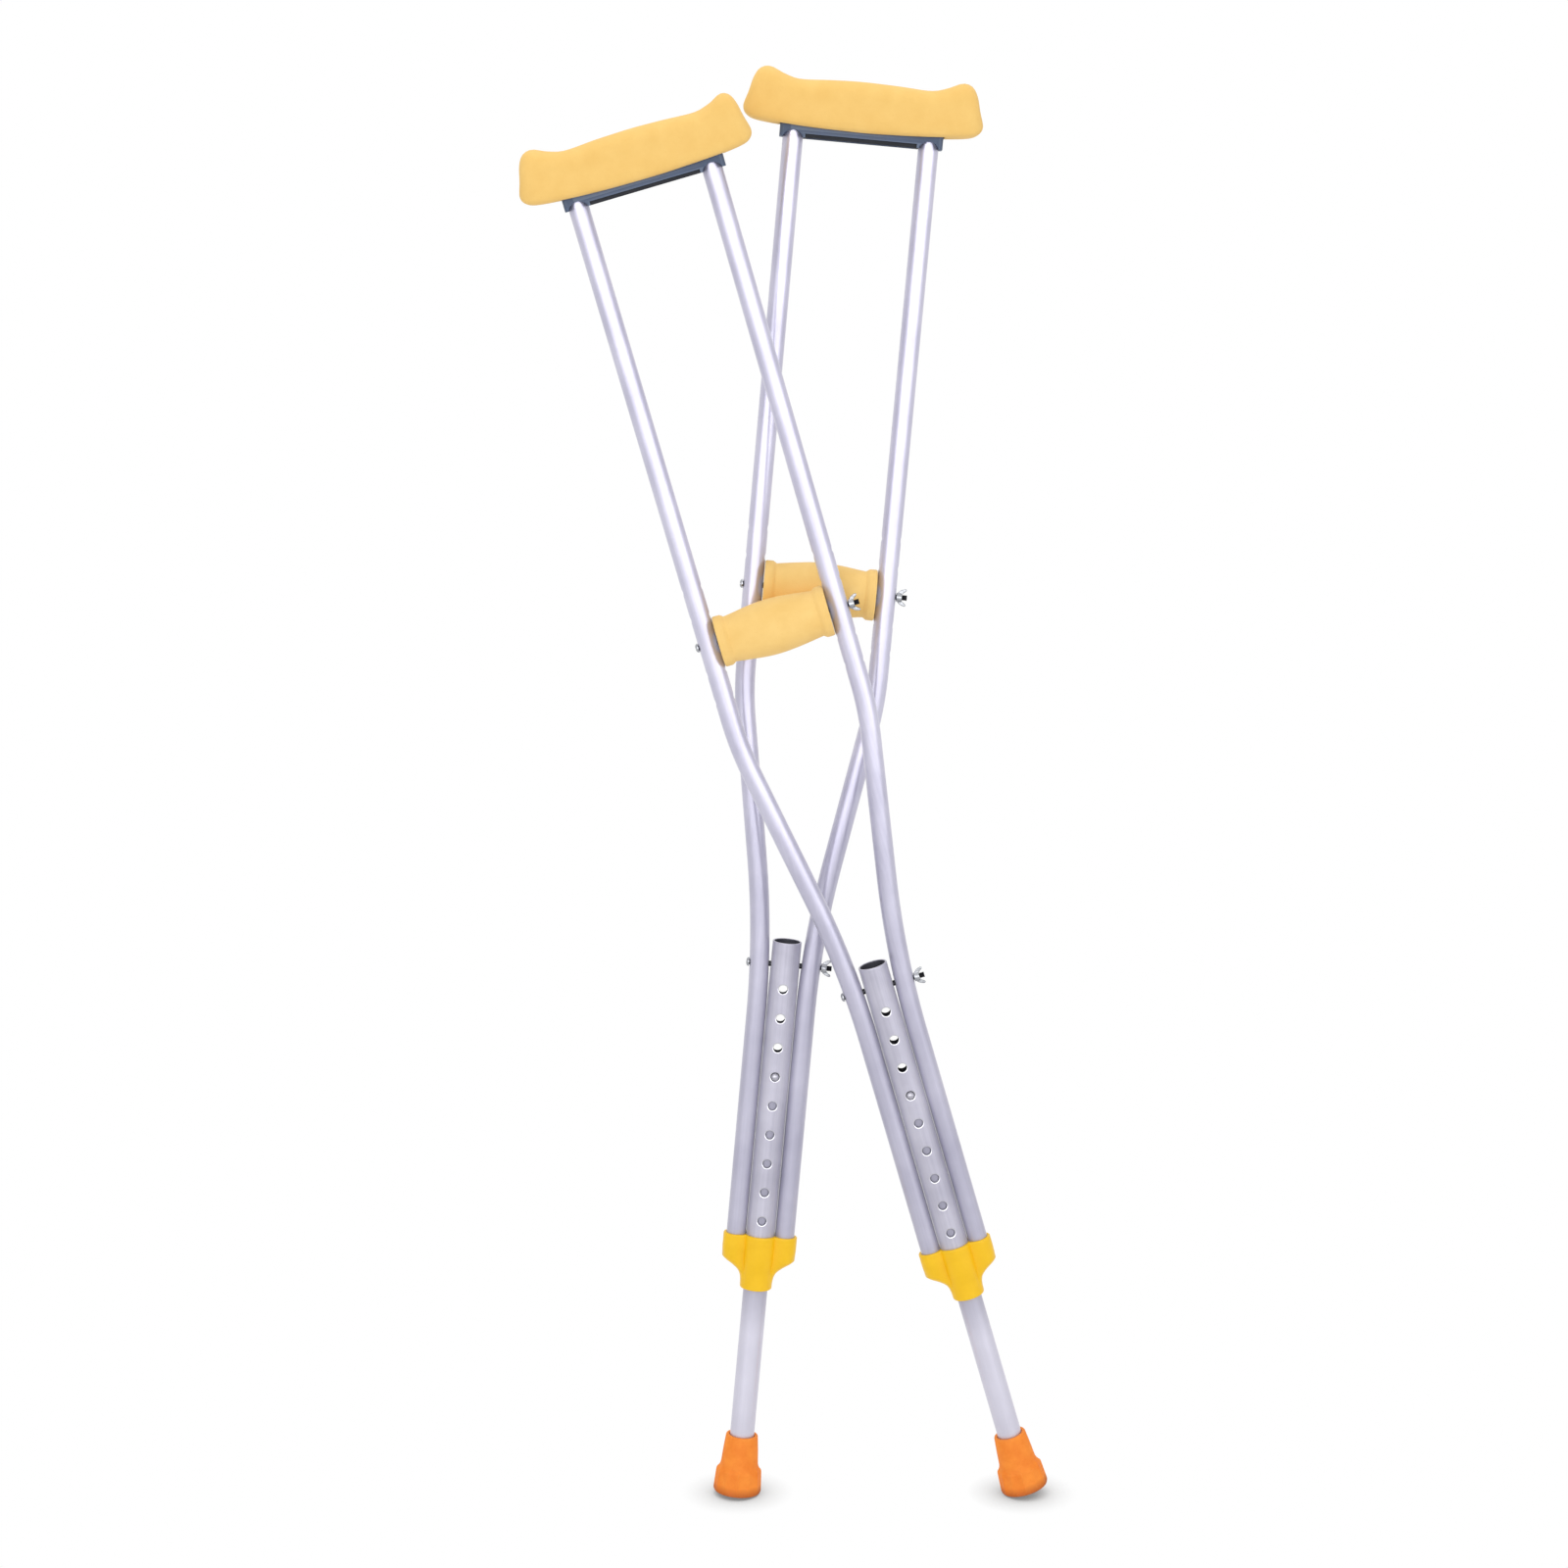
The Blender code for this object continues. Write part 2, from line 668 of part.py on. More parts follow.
def leg(side, rig):
    """The sliding leg with its snap button and spring, and the rubber ferrule on its end."""
    bottom = FERRULE_FLOOR + WASHER_THICK + 2 * GAP
    tube = rod(side + "_leg_tube", [(0, 0, bottom), (0, 0, LEG_TOP_Z)], LEG_R, rig)
    inside = LEG_R - LEG_WALL
    bore = rod(
        side + "_leg_bore",
        [(0, 0, bottom - OVERSHOOT), (0, 0, LEG_TOP_Z + OVERSHOOT)],
        inside,
        rig,
        cutter=True,
    )
    boolean(tube, bore)
    button_r = BUTTON_D / 2
    drill = pins(
        side + "_leg_drill",
        rig,
        [((0, -LEG_OD, BUTTON_Z), (0, 0, BUTTON_Z), button_r + GAP)],
        sides=14,
    )
    boolean(tube, drill)
    finish(tube, "aluminium")

    tip = CENTRE_R + BUTTON_STAND
    rim = button_r + BUTTON_RIM
    seat = math.sqrt(inside**2 - rim**2) - 2 * GAP
    heel = seat - BUTTON_RIM_THICK
    profile = [
        (0.0, tip),
        (0.5 * button_r, tip - 0.12 * BUTTON_DOME),
        (0.85 * button_r, tip - 0.46 * BUTTON_DOME),
        (button_r, tip - BUTTON_DOME),
        (button_r, seat),
        (rim, seat),
        (rim, heel),
        (0.0, heel),
    ]
    button = turned(side + "_snap_button", profile, rig, (0, 0, BUTTON_Z), TO_FRONT, steps=14)
    finish(button, "zinc_steel")

    front = heel - GAP
    back = inside - SPRING_BACK_GAP
    fold = ((back - front) / 2, -SPRING_LEG)
    fold_r = (back + front) / 2
    outline = [(-front, SPRING_WIDTH)]
    outline += arc(fold, fold_r, math.pi, math.tau, 8)
    outline += [(back, SPRING_WIDTH), (back - SPRING_THICK, SPRING_WIDTH)]
    outline += arc(fold, fold_r - SPRING_THICK, math.tau, math.pi, 8)
    outline += [(-front + SPRING_THICK, SPRING_WIDTH)]
    spring = sheet(
        side + "_snap_spring", outline, SPRING_WIDTH, rig, at=(0, 0, BUTTON_Z), turn=TO_SIDE
    )
    finish(spring, "spring_steel")

    foot, top, socket = FERRULE_FOOT_D / 2, FERRULE_TOP_D / 2, LEG_R + GAP
    tall = FERRULE_HEIGHT
    profile = [
        (0.0, FERRULE_FLOOR),
        (socket, FERRULE_FLOOR),
        (socket, tall),
        (top - 0.67 * FERRULE_EDGE, tall),
        (top, tall - FERRULE_EDGE),
        (0.5 * (top + foot) + 0.25 * FERRULE_EDGE, 0.43 * tall),
        (foot - 0.75 * FERRULE_EDGE, 0.39 * tall),
        (foot, 0.35 * tall),
        (foot, 1.67 * FERRULE_EDGE),
        (SOLE_R, 0.0),
        (0.0, 0.0),
    ]
    ferrule = turned(side + "_ferrule", profile, rig, (0, 0, 0), steps=28)
    finish(ferrule, "orange_rubber")
    floor = FERRULE_FLOOR + GAP
    rim, hole = LEG_R - GAP, WASHER_HOLE_D / 2
    ring = [
        (rim, floor + WASHER_THICK),
        (rim, floor),
        (hole, floor),
        (hole, floor + WASHER_THICK),
    ]
    washer = turned(side + "_ferrule_washer", ring, rig, (0, 0, 0), loop=True, steps=16)
    finish(washer, "zinc_steel")


def crutch(side):
    lean, back, twist = LEAN_ANGLES[side]
    turn = Matrix.Rotation(math.radians(-back), 3, "X")
    turn = turn @ Matrix.Rotation(math.radians(-lean), 3, "Y")
    turn = turn @ Matrix.Rotation(math.radians(twist), 3, "Z")
    lift = SOLE_R * math.sin(math.acos(turn[2][2]))
    rig = bpy.data.objects.new(side + "_crutch", None)
    PIECES.objects.link(rig)
    rig.location = Vector((FEET_X[side], FEET_Y, lift)) * MM
    rig.rotation_euler = turn.to_euler()
    pad_and_bracket(side, rig)
    uprights(side, rig)
    centre_tube(side, rig)
    bolt_and_nut(side, "frame", rig, FRAME_BOLT_Z, upright_x(FRAME_BOLT_Z) + UPRIGHT_R)
    bolt_and_nut(side, "grip", rig, GRIP_Z, UPRIGHT_X + UPRIGHT_R)
    handgrip(side, rig)
    base_bracket(side, rig)
    leg(side, rig)


wipe()
PIECES = collection("underarm_crutches")
CUTTERS = collection("cutters")
for name in LEAN_ANGLES:
    crutch(name)
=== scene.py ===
# %% [markdown]
# # A pair of underarm crutches, dressed for a picture
#
# Two aluminium crutches stand crossed, one leaning across the other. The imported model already
# has every part at its real size and in its place, but with few faces and plain colours. This
# lesson keeps that model as a fixed frame and makes each part again with a fine surface: bent
# and drilled tubes, moulded foam, plastic and rubber, and plated bolts. Each new piece is tied
# to the body that it moves with, so the legs still telescope and the nuts still turn.

# %% Load the frame
import json
import math

import bmesh
import bpy
from mathutils import Matrix, Vector, noise


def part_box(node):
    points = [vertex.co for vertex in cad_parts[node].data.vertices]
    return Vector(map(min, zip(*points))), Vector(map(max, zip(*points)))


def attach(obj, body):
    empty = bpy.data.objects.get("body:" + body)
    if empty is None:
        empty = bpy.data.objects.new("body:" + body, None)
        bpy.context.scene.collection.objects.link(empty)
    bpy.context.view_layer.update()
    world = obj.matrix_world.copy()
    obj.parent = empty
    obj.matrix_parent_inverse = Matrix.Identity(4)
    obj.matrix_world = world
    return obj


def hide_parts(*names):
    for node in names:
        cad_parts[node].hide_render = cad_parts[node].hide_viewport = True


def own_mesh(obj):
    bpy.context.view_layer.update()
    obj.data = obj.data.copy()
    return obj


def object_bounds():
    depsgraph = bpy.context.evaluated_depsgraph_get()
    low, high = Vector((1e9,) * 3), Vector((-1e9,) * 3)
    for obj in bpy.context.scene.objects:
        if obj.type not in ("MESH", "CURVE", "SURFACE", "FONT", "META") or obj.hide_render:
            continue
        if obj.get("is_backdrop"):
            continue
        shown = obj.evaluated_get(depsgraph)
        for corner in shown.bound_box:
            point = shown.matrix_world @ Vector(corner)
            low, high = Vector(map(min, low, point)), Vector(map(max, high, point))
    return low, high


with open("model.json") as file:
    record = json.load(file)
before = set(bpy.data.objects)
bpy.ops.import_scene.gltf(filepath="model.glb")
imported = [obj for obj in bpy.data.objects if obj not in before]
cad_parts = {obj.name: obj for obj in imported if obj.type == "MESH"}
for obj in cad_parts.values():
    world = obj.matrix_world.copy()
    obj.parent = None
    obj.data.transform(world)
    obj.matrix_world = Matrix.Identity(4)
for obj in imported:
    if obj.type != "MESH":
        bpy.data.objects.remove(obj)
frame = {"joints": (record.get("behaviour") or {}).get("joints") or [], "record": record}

frame_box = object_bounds()

# %% [markdown]
# ## Where each crutch stands
#
# A crutch is easiest to make upright, with its sole at the origin, its shaft up Z and its frame
# across X, and to lean afterwards. The lean could be typed in as angles. Instead it is read from
# the frame's own record, so it can't disagree with it: the sole's mount is the origin, the
# grip's hinge is X, the snap button's travel is Y and the sliding leg's travel is Z.

# %% Find the two stands
SIDES = ("front", "rear")
MM = 0.001
CLEARANCE = 0.3  # millimetres left between pieces that meet
joints = {joint["name"]: joint for joint in frame["joints"]}
mounts = {mount["name"]: mount for mount in frame["record"]["mounts"]}


def stand(side):
    """The matrix that takes a crutch from upright at the origin to where it leans."""
    axes = [joints[f"{side}_{name}"]["axis"] for name in ("grip_turn", "button_press", "leg_slide")]
    turn = Matrix(axes).transposed().to_4x4()
    return Matrix.Translation(mounts[f"{side}_sole"]["pos_m"]) @ turn


stands = {side: stand(side) for side in SIDES}
for side in SIDES:
    lean = math.degrees(stands[side].to_3x3().col[2].angle(Vector((0, 0, 1))))
    print(f"{side} crutch leans {lean:.1f} degrees")

# %% [markdown]
# ## The camera
#
# The picture was taken from just below the pads, about 2.8 m away, looking down a little
# through a long lens. Those three facts come from how the tubes converge. The frame is square,
# so the sensor is fitted to its width and nothing is shifted.

# %% Set the camera
CAMERA_AT = (-0.0091, -2.7523, 1.1853)
CAMERA_LOOKS_DOWN = math.radians(10.88)
LENS, SENSOR = 73.1, 36.0

lens = bpy.data.cameras.new("camera")
lens.lens = LENS
lens.sensor_width = SENSOR
lens.sensor_fit = "HORIZONTAL"
camera = bpy.data.objects.new("camera", lens)
camera.location = CAMERA_AT
camera.rotation_euler = (math.radians(90) - CAMERA_LOOKS_DOWN, 0, 0)
bpy.context.scene.collection.objects.link(camera)
bpy.context.scene.camera = camera
bpy.context.scene.view_settings.view_transform = "Standard"
print(f"camera: {LENS} mm lens, {CAMERA_AT[2]:.2f} m up")

# %% [markdown]
# ## Nodes with one helper
#
# Every finish below is a small tree of shader nodes. Adding a node takes three lines in Blender,
# one to make it, one to set it and one to link it, so one helper does all three. An input is named
# by its label or by its place: in a Map Range, 1 and 2 are the range that it reads, and 3 and 4 the
# range that it gives. In a colour Mix, 6 and 7 are the two colours. Each finish ends in the same
# way, with a colour, a patchy roughness and a bump, so a second helper links those to the shader.
#
# Colours are written as they look on a screen, in sRGB hex, and turned to the linear values that
# Blender wants. Objects are in metres, so a pattern of a given size has a scale of one over it.

# %% Helpers for finishes


def linear(colour):
    """An sRGB hex colour as linear red, green, blue and alpha."""
    parts = [int(colour[i : i + 2], 16) / 255 for i in (1, 3, 5)]
    return (*[p / 12.92 if p <= 0.04045 else ((p + 0.055) / 1.055) ** 2.4 for p in parts], 1.0)


def per(size):
    """The texture scale whose features are about this many millimetres across."""
    return 1 / (size * MM)


def add(tree, kind, wiring):
    """Add one node. Each key is a property or an input of it; an output given as value is linked."""
    made = tree.nodes.new("ShaderNode" + kind)
    for key, value in wiring.items():
        if isinstance(key, str) and hasattr(made, key):
            setattr(made, key, value)
        elif isinstance(value, bpy.types.NodeSocket):
            tree.links.new(value, made.inputs[key])
        else:
            made.inputs[key].default_value = value
    return made


def finish(name, constants):
    """A new material with its Principled shader's plain values set on the shader's own sockets."""
    made = bpy.data.materials.new(name)
    made.use_nodes = True
    shader = made.node_tree.nodes["Principled BSDF"]
    for socket, value in constants.items():
        shader.inputs[socket].default_value = value
    return made, made.node_tree, shader


def surface(tree, colour, patches, span, limits, height, strength, distance):
    """Link a colour, a roughness that wanders between limits with some patches, and a bump."""
    rough = add(tree, "MapRange", {0: patches, 1: span[0], 2: span[1], 3: limits[0], 4: limits[1]})
    bump = add(tree, "Bump", {"Strength": strength, "Distance": distance, "Height": height})
    ends = {"Base Color": colour, "Roughness": rough.outputs[0], "Normal": bump.outputs[0]}
    for socket, output in ends.items():
        tree.links.new(output, tree.nodes["Principled BSDF"].inputs[socket])


print("white is", [round(c, 3) for c in linear("#FFFFFF")])

# %% [markdown]
# ## A white studio
#
# The background is plain white. Lighting a backdrop until it burns out would also flood the
# crutches, so the white is given only to rays that come from the camera, or that metal reflects
# back to it. Other rays see a softer grey, which is the general light of the room. The floor is
# white paper, which throws that light back up. A leg that is drawn out ends below it, and its foot
# should still be seen. So to the camera the paper is as clear as glass, and only the shadow on it
# shows: an Ambient Occlusion node finds where a foot comes close, and darkens it there.

# %% World and floor
ROOM_LIGHT = 0.72
FLOOR_RADIUS, FLOOR_DROP, PAPER_CLOUD = 5.0, 0.0005, 40.0
SHADOW_REACH, SHADOW_SAMPLES = 0.032, 8
SHADOW_FULL, SHADOW_DEPTH = 0.15, 0.8  # how open the floor is where the shadow is full, and its depth

world = bpy.data.worlds.new("studio")
bpy.context.scene.world = world
world.use_nodes = True
sky = world.node_tree
sky.nodes.clear()


def seen(tree):
    """1 for a ray from the camera or from a reflection or refraction, and 0 for the rest."""
    path = add(tree, "LightPath", {})
    total = path.outputs["Is Camera Ray"]
    for kind in ("Is Glossy Ray", "Is Transmission Ray"):
        total = add(tree, "Math", {"operation": "MAXIMUM", 0: total, 1: path.outputs[kind]}).outputs[0]
    return total


room = add(sky, "Background", {"Color": linear("#FFFFFF"), "Strength": ROOM_LIGHT})
white = add(sky, "Background", {"Color": linear("#FFFFFF"), "Strength": 1.0})
either = add(sky, "MixShader", {0: seen(sky), 1: room.outputs[0], 2: white.outputs[0]})
add(sky, "OutputWorld", {"Surface": either.outputs[0]})

# Matt paper: an even, nearly white ground. Its fibres are far too fine to show, so they are drawn as
# faint clouds some 40 mm across.
paper, tree, shader = finish("matt_white_paper_floor", {"Roughness": 0.9})
spot = add(tree, "TexCoord", {}).outputs["Object"]
cloud = add(tree, "TexNoise", {"Vector": spot, "Scale": per(PAPER_CLOUD), "Detail": 4.0}).outputs[0]
tone = add(tree, "Mix", {"data_type": "RGBA", 0: cloud, 6: linear("#EFEFEF"), 7: linear("#F4F4F4")})
tree.links.new(tone.outputs[2], shader.inputs["Base Color"])
occlusion = add(tree, "AmbientOcclusion", {"samples": SHADOW_SAMPLES, "Distance": SHADOW_REACH})
shade = add(tree, "MapRange", {0: occlusion.outputs["AO"], 1: SHADOW_FULL, 3: SHADOW_DEPTH, 4: 0.0})
clear = add(tree, "BsdfTransparent", {})
dark = add(tree, "BsdfDiffuse", {"Color": linear("#4A3A30")})
shade_film = add(tree, "MixShader", {0: shade.outputs[0], 1: clear.outputs[0], 2: dark.outputs[0]})
ground = add(tree, "MixShader", {0: seen(tree), 1: shader.outputs[0], 2: shade_film.outputs[0]})
tree.links.new(ground.outputs[0], tree.nodes["Material Output"].inputs["Surface"])

bpy.ops.mesh.primitive_circle_add(vertices=96, radius=FLOOR_RADIUS, fill_type="NGON")
floor = bpy.context.object
floor.name = "floor"
floor.location.z = -FLOOR_DROP
floor.data.materials.append(paper)
floor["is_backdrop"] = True
print(f"floor: {2 * FLOOR_RADIUS:.0f} m across")

# %% [markdown]
# ## Soft boxes and a card
#
# The room's even light does most of the work. A soft box in front, one on the right and one above
# round the foam and keep the shadow side open. All are large, because a small lamp would leave
# hard glints. A satin tube is drawn by what it reflects, so a wide card stands behind the camera.
# It is hidden from diffuse rays, so it shows only in reflections. It gives each upright its white
# core, and leaves the edges the grey of the metal.

# %% Lamps
LAMPS = {  # where it hangs, what it points at, its width and height, and its power in watts
    "front_box": ((-0.8, -3.0, 2.2), (0.0, 0.0, 0.7), (1.8, 1.8), 26.0),
    "right_box": ((2.4, -1.6, 1.3), (0.0, 0.0, 0.7), (1.4, 1.4), 8.0),
    "top_box": ((-0.2, 0.4, 3.0), (0.0, 0.0, 0.6), (1.6, 1.6), 12.0),
    "reflection_card": ((0.2, -3.6, 1.25), (0.1, 0.0, 1.15), (9.0, 2.2), 112.0),
}
for name, (place, target, (wide, high), power) in LAMPS.items():
    light = bpy.data.lights.new(name, "AREA")
    light.shape = "RECTANGLE"
    light.size = wide
    light.size_y = high
    light.energy = power
    lamp = bpy.data.objects.new(name, light)
    lamp.location = place
    lamp.rotation_euler = (Vector(target) - Vector(place)).to_track_quat("-Z", "Y").to_euler()
    lamp.visible_diffuse = name != "reflection_card"
    bpy.context.scene.collection.objects.link(lamp)
print("lamps:", ", ".join(LAMPS))

# %% [markdown]
# ## Anodised aluminium
#
# The tubes are drawn aluminium, etched and clear anodised. The thin oxide film is a cool, slightly
# violet grey. It scatters light as frost on a window does, so the tubes are only partly metallic,
# and pale at a grazing look, which a sheen gives. Drawing through a die leaves faint lines along
# the tube. Real draw lines are a few hundredths of a millimetre apart, too fine to show, so on the
# outside they are drawn one or two millimetres apart. An image could hold them, but a noise that is
# stretched along the tube needs no unwrapping. Low on the uprights the film is painted darker and
# milkier, as painted shade, and the leg is painted darker from just under the base upwards, as
# the shade under the base and inside its tube. Inside, the metal is left dull, and painted dark
# as shade.

# %% Make the aluminium
MILKY = 0.3  # how metallic the film is where it scatters most
HAZE_ROUGHNESS = 0.4
LINE_STRETCH = 0.012  # draw lines are some eighty times as long as they are wide
FILM_CLOUD, RUB_SPOT = 45.0, 12.0


def anodised_aluminium(name, pale, deep, metallic, roughness, line, haze=0.0, painted_shade=None):
    """Satin tube: lines along Z, clouding of the film, dull patches, and one end painted darker as shade."""
    constants = {"Metallic": metallic, "Sheen Weight": haze, "Sheen Roughness": HAZE_ROUGHNESS}
    made, tree, shader = finish(name, constants)
    spot = add(tree, "TexCoord", {}).outputs["Object"]
    along = add(tree, "Mapping", {"Vector": spot, "Scale": (1.0, 1.0, LINE_STRETCH)}).outputs[0]
    drawn = {"Vector": along, "Scale": per(line), "Detail": 5.0, "Roughness": 0.6}
    lines = add(tree, "TexNoise", drawn).outputs[0]
    cloud = add(tree, "TexNoise", {"Vector": spot, "Scale": per(FILM_CLOUD), "Detail": 3.0}).outputs[0]
    mixed = add(tree, "Math", {"operation": "MULTIPLY_ADD", 0: lines, 1: 0.6, 2: cloud}).outputs[0]
    shade = add(tree, "MapRange", {0: mixed, 1: 0.5, 2: 1.1}).outputs[0]
    colour = add(tree, "Mix", {"data_type": "RGBA", 0: shade, 6: linear(deep), 7: linear(pale)}).outputs[2]
    if painted_shade:
        # Painted shade: from one height to another the colour is darkened and the metal made milkier.
        shade_tint, shade_start, shade_full = painted_shade
        height = add(tree, "SeparateXYZ", {0: spot}).outputs["Z"]
        share = add(tree, "MapRange", {0: height, 1: shade_start * MM, 2: shade_full * MM}).outputs[0]
        shade_film = {"data_type": "RGBA", "blend_type": "MULTIPLY", 0: share, 6: colour, 7: linear(shade_tint)}
        colour = add(tree, "Mix", shade_film).outputs[2]
        shade_metallic = add(tree, "MapRange", {0: share, 3: metallic, 4: MILKY}).outputs[0]
        tree.links.new(shade_metallic, shader.inputs["Metallic"])
    spots = {"Vector": spot, "Scale": per(RUB_SPOT), "Detail": 6.0, "Roughness": 0.65}
    rub = add(tree, "TexNoise", spots).outputs[0]
    worn = add(tree, "Math", {"operation": "ADD", 0: rub, 1: lines}).outputs[0]
    surface(tree, colour, worn, (0.6, 1.4), (roughness - 0.05, roughness + 0.07), lines, 0.12, 0.0002)
    return made


# A tint of painted shade, and the heights in millimetres where it starts and is full.
painted_shade_low = ("#EAEAEC", 700.0, 430.0)
painted_shade_leg = ("#C4C4CC", 150.0, 215.0)
# Satin: a white core where the card is reflected, grey edges, and painted shade, darker and milkier, towards
# its foot.
satin_tube = anodised_aluminium(
    "satin_anodised_aluminium", "#D0CEDF", "#B9B7CB", 0.6, 0.34, 1.8, 0.45, painted_shade_low
)
# Etched deeper: a flat pale grey with plain draw lines and hardly a highlight.
dull_tube = anodised_aluminium("etched_anodised_aluminium", "#C9C7D5", "#A7A5B6", MILKY, 0.42, 2.0, 1.0)
# Brushed after drawing: the palest tube, with finer lines, and painted shade higher up, inside its tube.
leg_tube = anodised_aluminium(
    "brushed_anodised_aluminium", "#D4D2E0", "#C8C6D4", 0.6, 0.36, 1.0, 0.12, painted_shade_leg
)
# Left as drawn, so rough, and painted dark as shade, so that a mouth or a hole reads as deep.
painted_shade_bore_metal = anodised_aluminium("painted_shade_unpolished_bore", "#5A5A62", "#44444C", 0.6, 0.6, 0.8)
# Cut after anodising: bare bright metal on the chamfer of each hole.
cut_metal = anodised_aluminium("bright_cut_aluminium", "#D4D4DA", "#C4C4CA", 1.0, 0.32, 0.4)
print("finishes:", *[tube.name for tube in (satin_tube, dull_tube, leg_tube, painted_shade_bore_metal, cut_metal)])

# %% [markdown]
# ## Moulded foam
#
# The pads and grips are closed-cell foam, foamed inside a mould. The skin against the mould is
# matt and faintly pebbled, and the colour is never quite even, because the foam is denser in some
# places than in others. The pebbles are about a millimetre across. The pores between them are much
# finer, and are drawn about two millimetres apart so that they show at all. Close up, both need a
# bump, and from afar only the slow mottling shows. Noise and cells give all of it, with no image.

# %% Make the foam
MOTTLE, PEBBLE, PORE = 22.0, 1.3, 2.4


def moulded_foam(name, body, shade, roughness):
    """Matt foam skin: slow mottling, fine pebbles, and small open pores."""
    made, tree, _ = finish(name, {"IOR": 1.45, "Sheen Weight": 0.06, "Sheen Roughness": 0.6})
    spot = add(tree, "TexCoord", {}).outputs["Object"]
    slow = {"Vector": spot, "Scale": per(MOTTLE), "Detail": 5.0, "Roughness": 0.55}
    mottle = add(tree, "MapRange", {0: add(tree, "TexNoise", slow).outputs[0], 1: 0.32, 2: 0.68}).outputs[0]
    pebble = add(tree, "TexNoise", {"Vector": spot, "Scale": per(PEBBLE), "Detail": 3.0}).outputs[0]
    pores = add(tree, "TexVoronoi", {"Vector": spot, "Scale": per(PORE), "Randomness": 1.0})
    pit = add(tree, "MapRange", {0: pores.outputs["Distance"], 1: 0.05, 2: 0.22}).outputs[0]
    tone = add(tree, "Math", {"operation": "MULTIPLY", 0: mottle, 1: pit}).outputs[0]
    colour = add(tree, "Mix", {"data_type": "RGBA", 0: tone, 6: linear(shade), 7: linear(body)}).outputs[2]
    skin = add(tree, "Math", {"operation": "MULTIPLY_ADD", 0: pit, 1: 0.6, 2: pebble}).outputs[0]
    limits = (roughness - 0.08, roughness + 0.08)
    surface(tree, colour, pebble, (0.3, 0.7), limits, skin, 0.35, 0.0003)
    return made


# The pad's skin is chalky and dry. The grip's is denser and a little smoother from hands.
pad_skin = moulded_foam("moulded_pad_foam", "#F7CC76", "#F2C46C", 0.82)
grip_skin = moulded_foam("moulded_grip_foam", "#FBD280", "#F5C974", 0.74)
print("finishes:", pad_skin.name, grip_skin.name)

# %% [markdown]
# ## Moulded plastic and rubber
#
# The saddle under the pad is slate-blue polypropylene from a spark-eroded mould, which leaves a
# fine even grain. A black band along its lower edge is painted shade, on the lip that is cut back
# under each wall. The base that gathers the tubes is yellow ABS from a polished mould, so it is
# glossier and shows only slow flow marks. The ferrule is orange rubber: matt, a little dusty, and
# darker where the sole rubs the floor. The spacer inside each grip is natural polypropylene. One
# function makes them all, since each is a coloured moulding with a grain, some clouding, and paler
# edges, which are partly wear and partly a painted highlight. Spark grain is about a tenth of a
# millimetre, too fine to show, so it is drawn at 0.7 mm.

# %% Make the mouldings
MOULDED_IOR = 1.35  # plastics have about 1.5, which would wash their colours out in so white a room
FLOW_CLOUD, EDGE_WEAR_AND_HIGHLIGHT = 16.0, 0.55
SCUFF_LOW, SCUFF_HIGH, SCUFF_WANDER, SCUFF_SHARE = -0.003, 0.005, -0.006, 0.85


def moulded(name, body, shade, edge, roughness, grain, depth, sole=None):
    """A moulding: grain as bump, clouded colour, edges paler as wear and painted highlight, scuffed sole."""
    made, tree, _ = finish(name, {"IOR": MOULDED_IOR})
    spot = add(tree, "TexCoord", {}).outputs["Object"]
    flow = {"Vector": spot, "Scale": per(FLOW_CLOUD), "Detail": 5.0, "Roughness": 0.6}
    cloud = add(tree, "TexNoise", flow).outputs[0]
    fine = add(tree, "TexNoise", {"Vector": spot, "Scale": per(grain), "Detail": 2.0}).outputs[0]
    tone = add(tree, "MapRange", {0: cloud, 1: 0.35, 2: 0.65}).outputs[0]
    colour = add(tree, "Mix", {"data_type": "RGBA", 0: tone, 6: linear(shade), 7: linear(body)}).outputs[2]
    # Edges found by pointiness turn paler: partly wear, partly a painted highlight.
    corner = add(tree, "NewGeometry", {}).outputs["Pointiness"]
    wear_and_highlight = add(tree, "MapRange", {0: corner, 1: 0.53, 2: 0.62, 4: EDGE_WEAR_AND_HIGHLIGHT}).outputs[0]
    colour = add(tree, "Mix", {"data_type": "RGBA", 0: wear_and_highlight, 6: colour, 7: linear(edge)}).outputs[2]
    if sole:
        height = add(tree, "SeparateXYZ", {0: spot}).outputs["Z"]
        uneven = {"operation": "MULTIPLY_ADD", 0: cloud, 1: SCUFF_WANDER, 2: height}
        level = add(tree, "Math", uneven).outputs[0]
        scuff = {0: level, 1: SCUFF_LOW, 2: SCUFF_HIGH, 3: SCUFF_SHARE, 4: 0.0}
        low = add(tree, "MapRange", scuff).outputs[0]
        colour = add(tree, "Mix", {"data_type": "RGBA", 0: low, 6: colour, 7: linear(sole)}).outputs[2]
    surface(tree, colour, cloud, (0.3, 0.7), (roughness - 0.07, roughness + 0.07), fine, depth, 0.0002)
    return made


# Grained: a soft slate blue whose highlights are broken up, paler along its edges.
slate_skin = moulded("spark_grained_polypropylene", "#445472", "#3A4963", "#74829A", 0.5, 0.7, 0.3)
# The same plastic in black, painted on the lip as shade: a dark line with hardly a highlight.
painted_shade_lip_skin = moulded("painted_shade_lip_polypropylene", "#101218", "#0B0D11", "#262A33", 0.7, 0.7, 0.2)
# From a polished mould: an even yellow with clear, soft-edged highlights.
yellow_skin = moulded("satin_moulded_abs", "#FBC81C", "#F6C217", "#FFD85C", 0.34, 2.5, 0.06)
# Rubber: a warm, matt orange that goes brown and scuffed towards the sole.
rubber_skin = moulded("moulded_orange_rubber", "#FF9634", "#F48222", "#FFA65A", 0.66, 1.2, 0.3, "#A84E18")
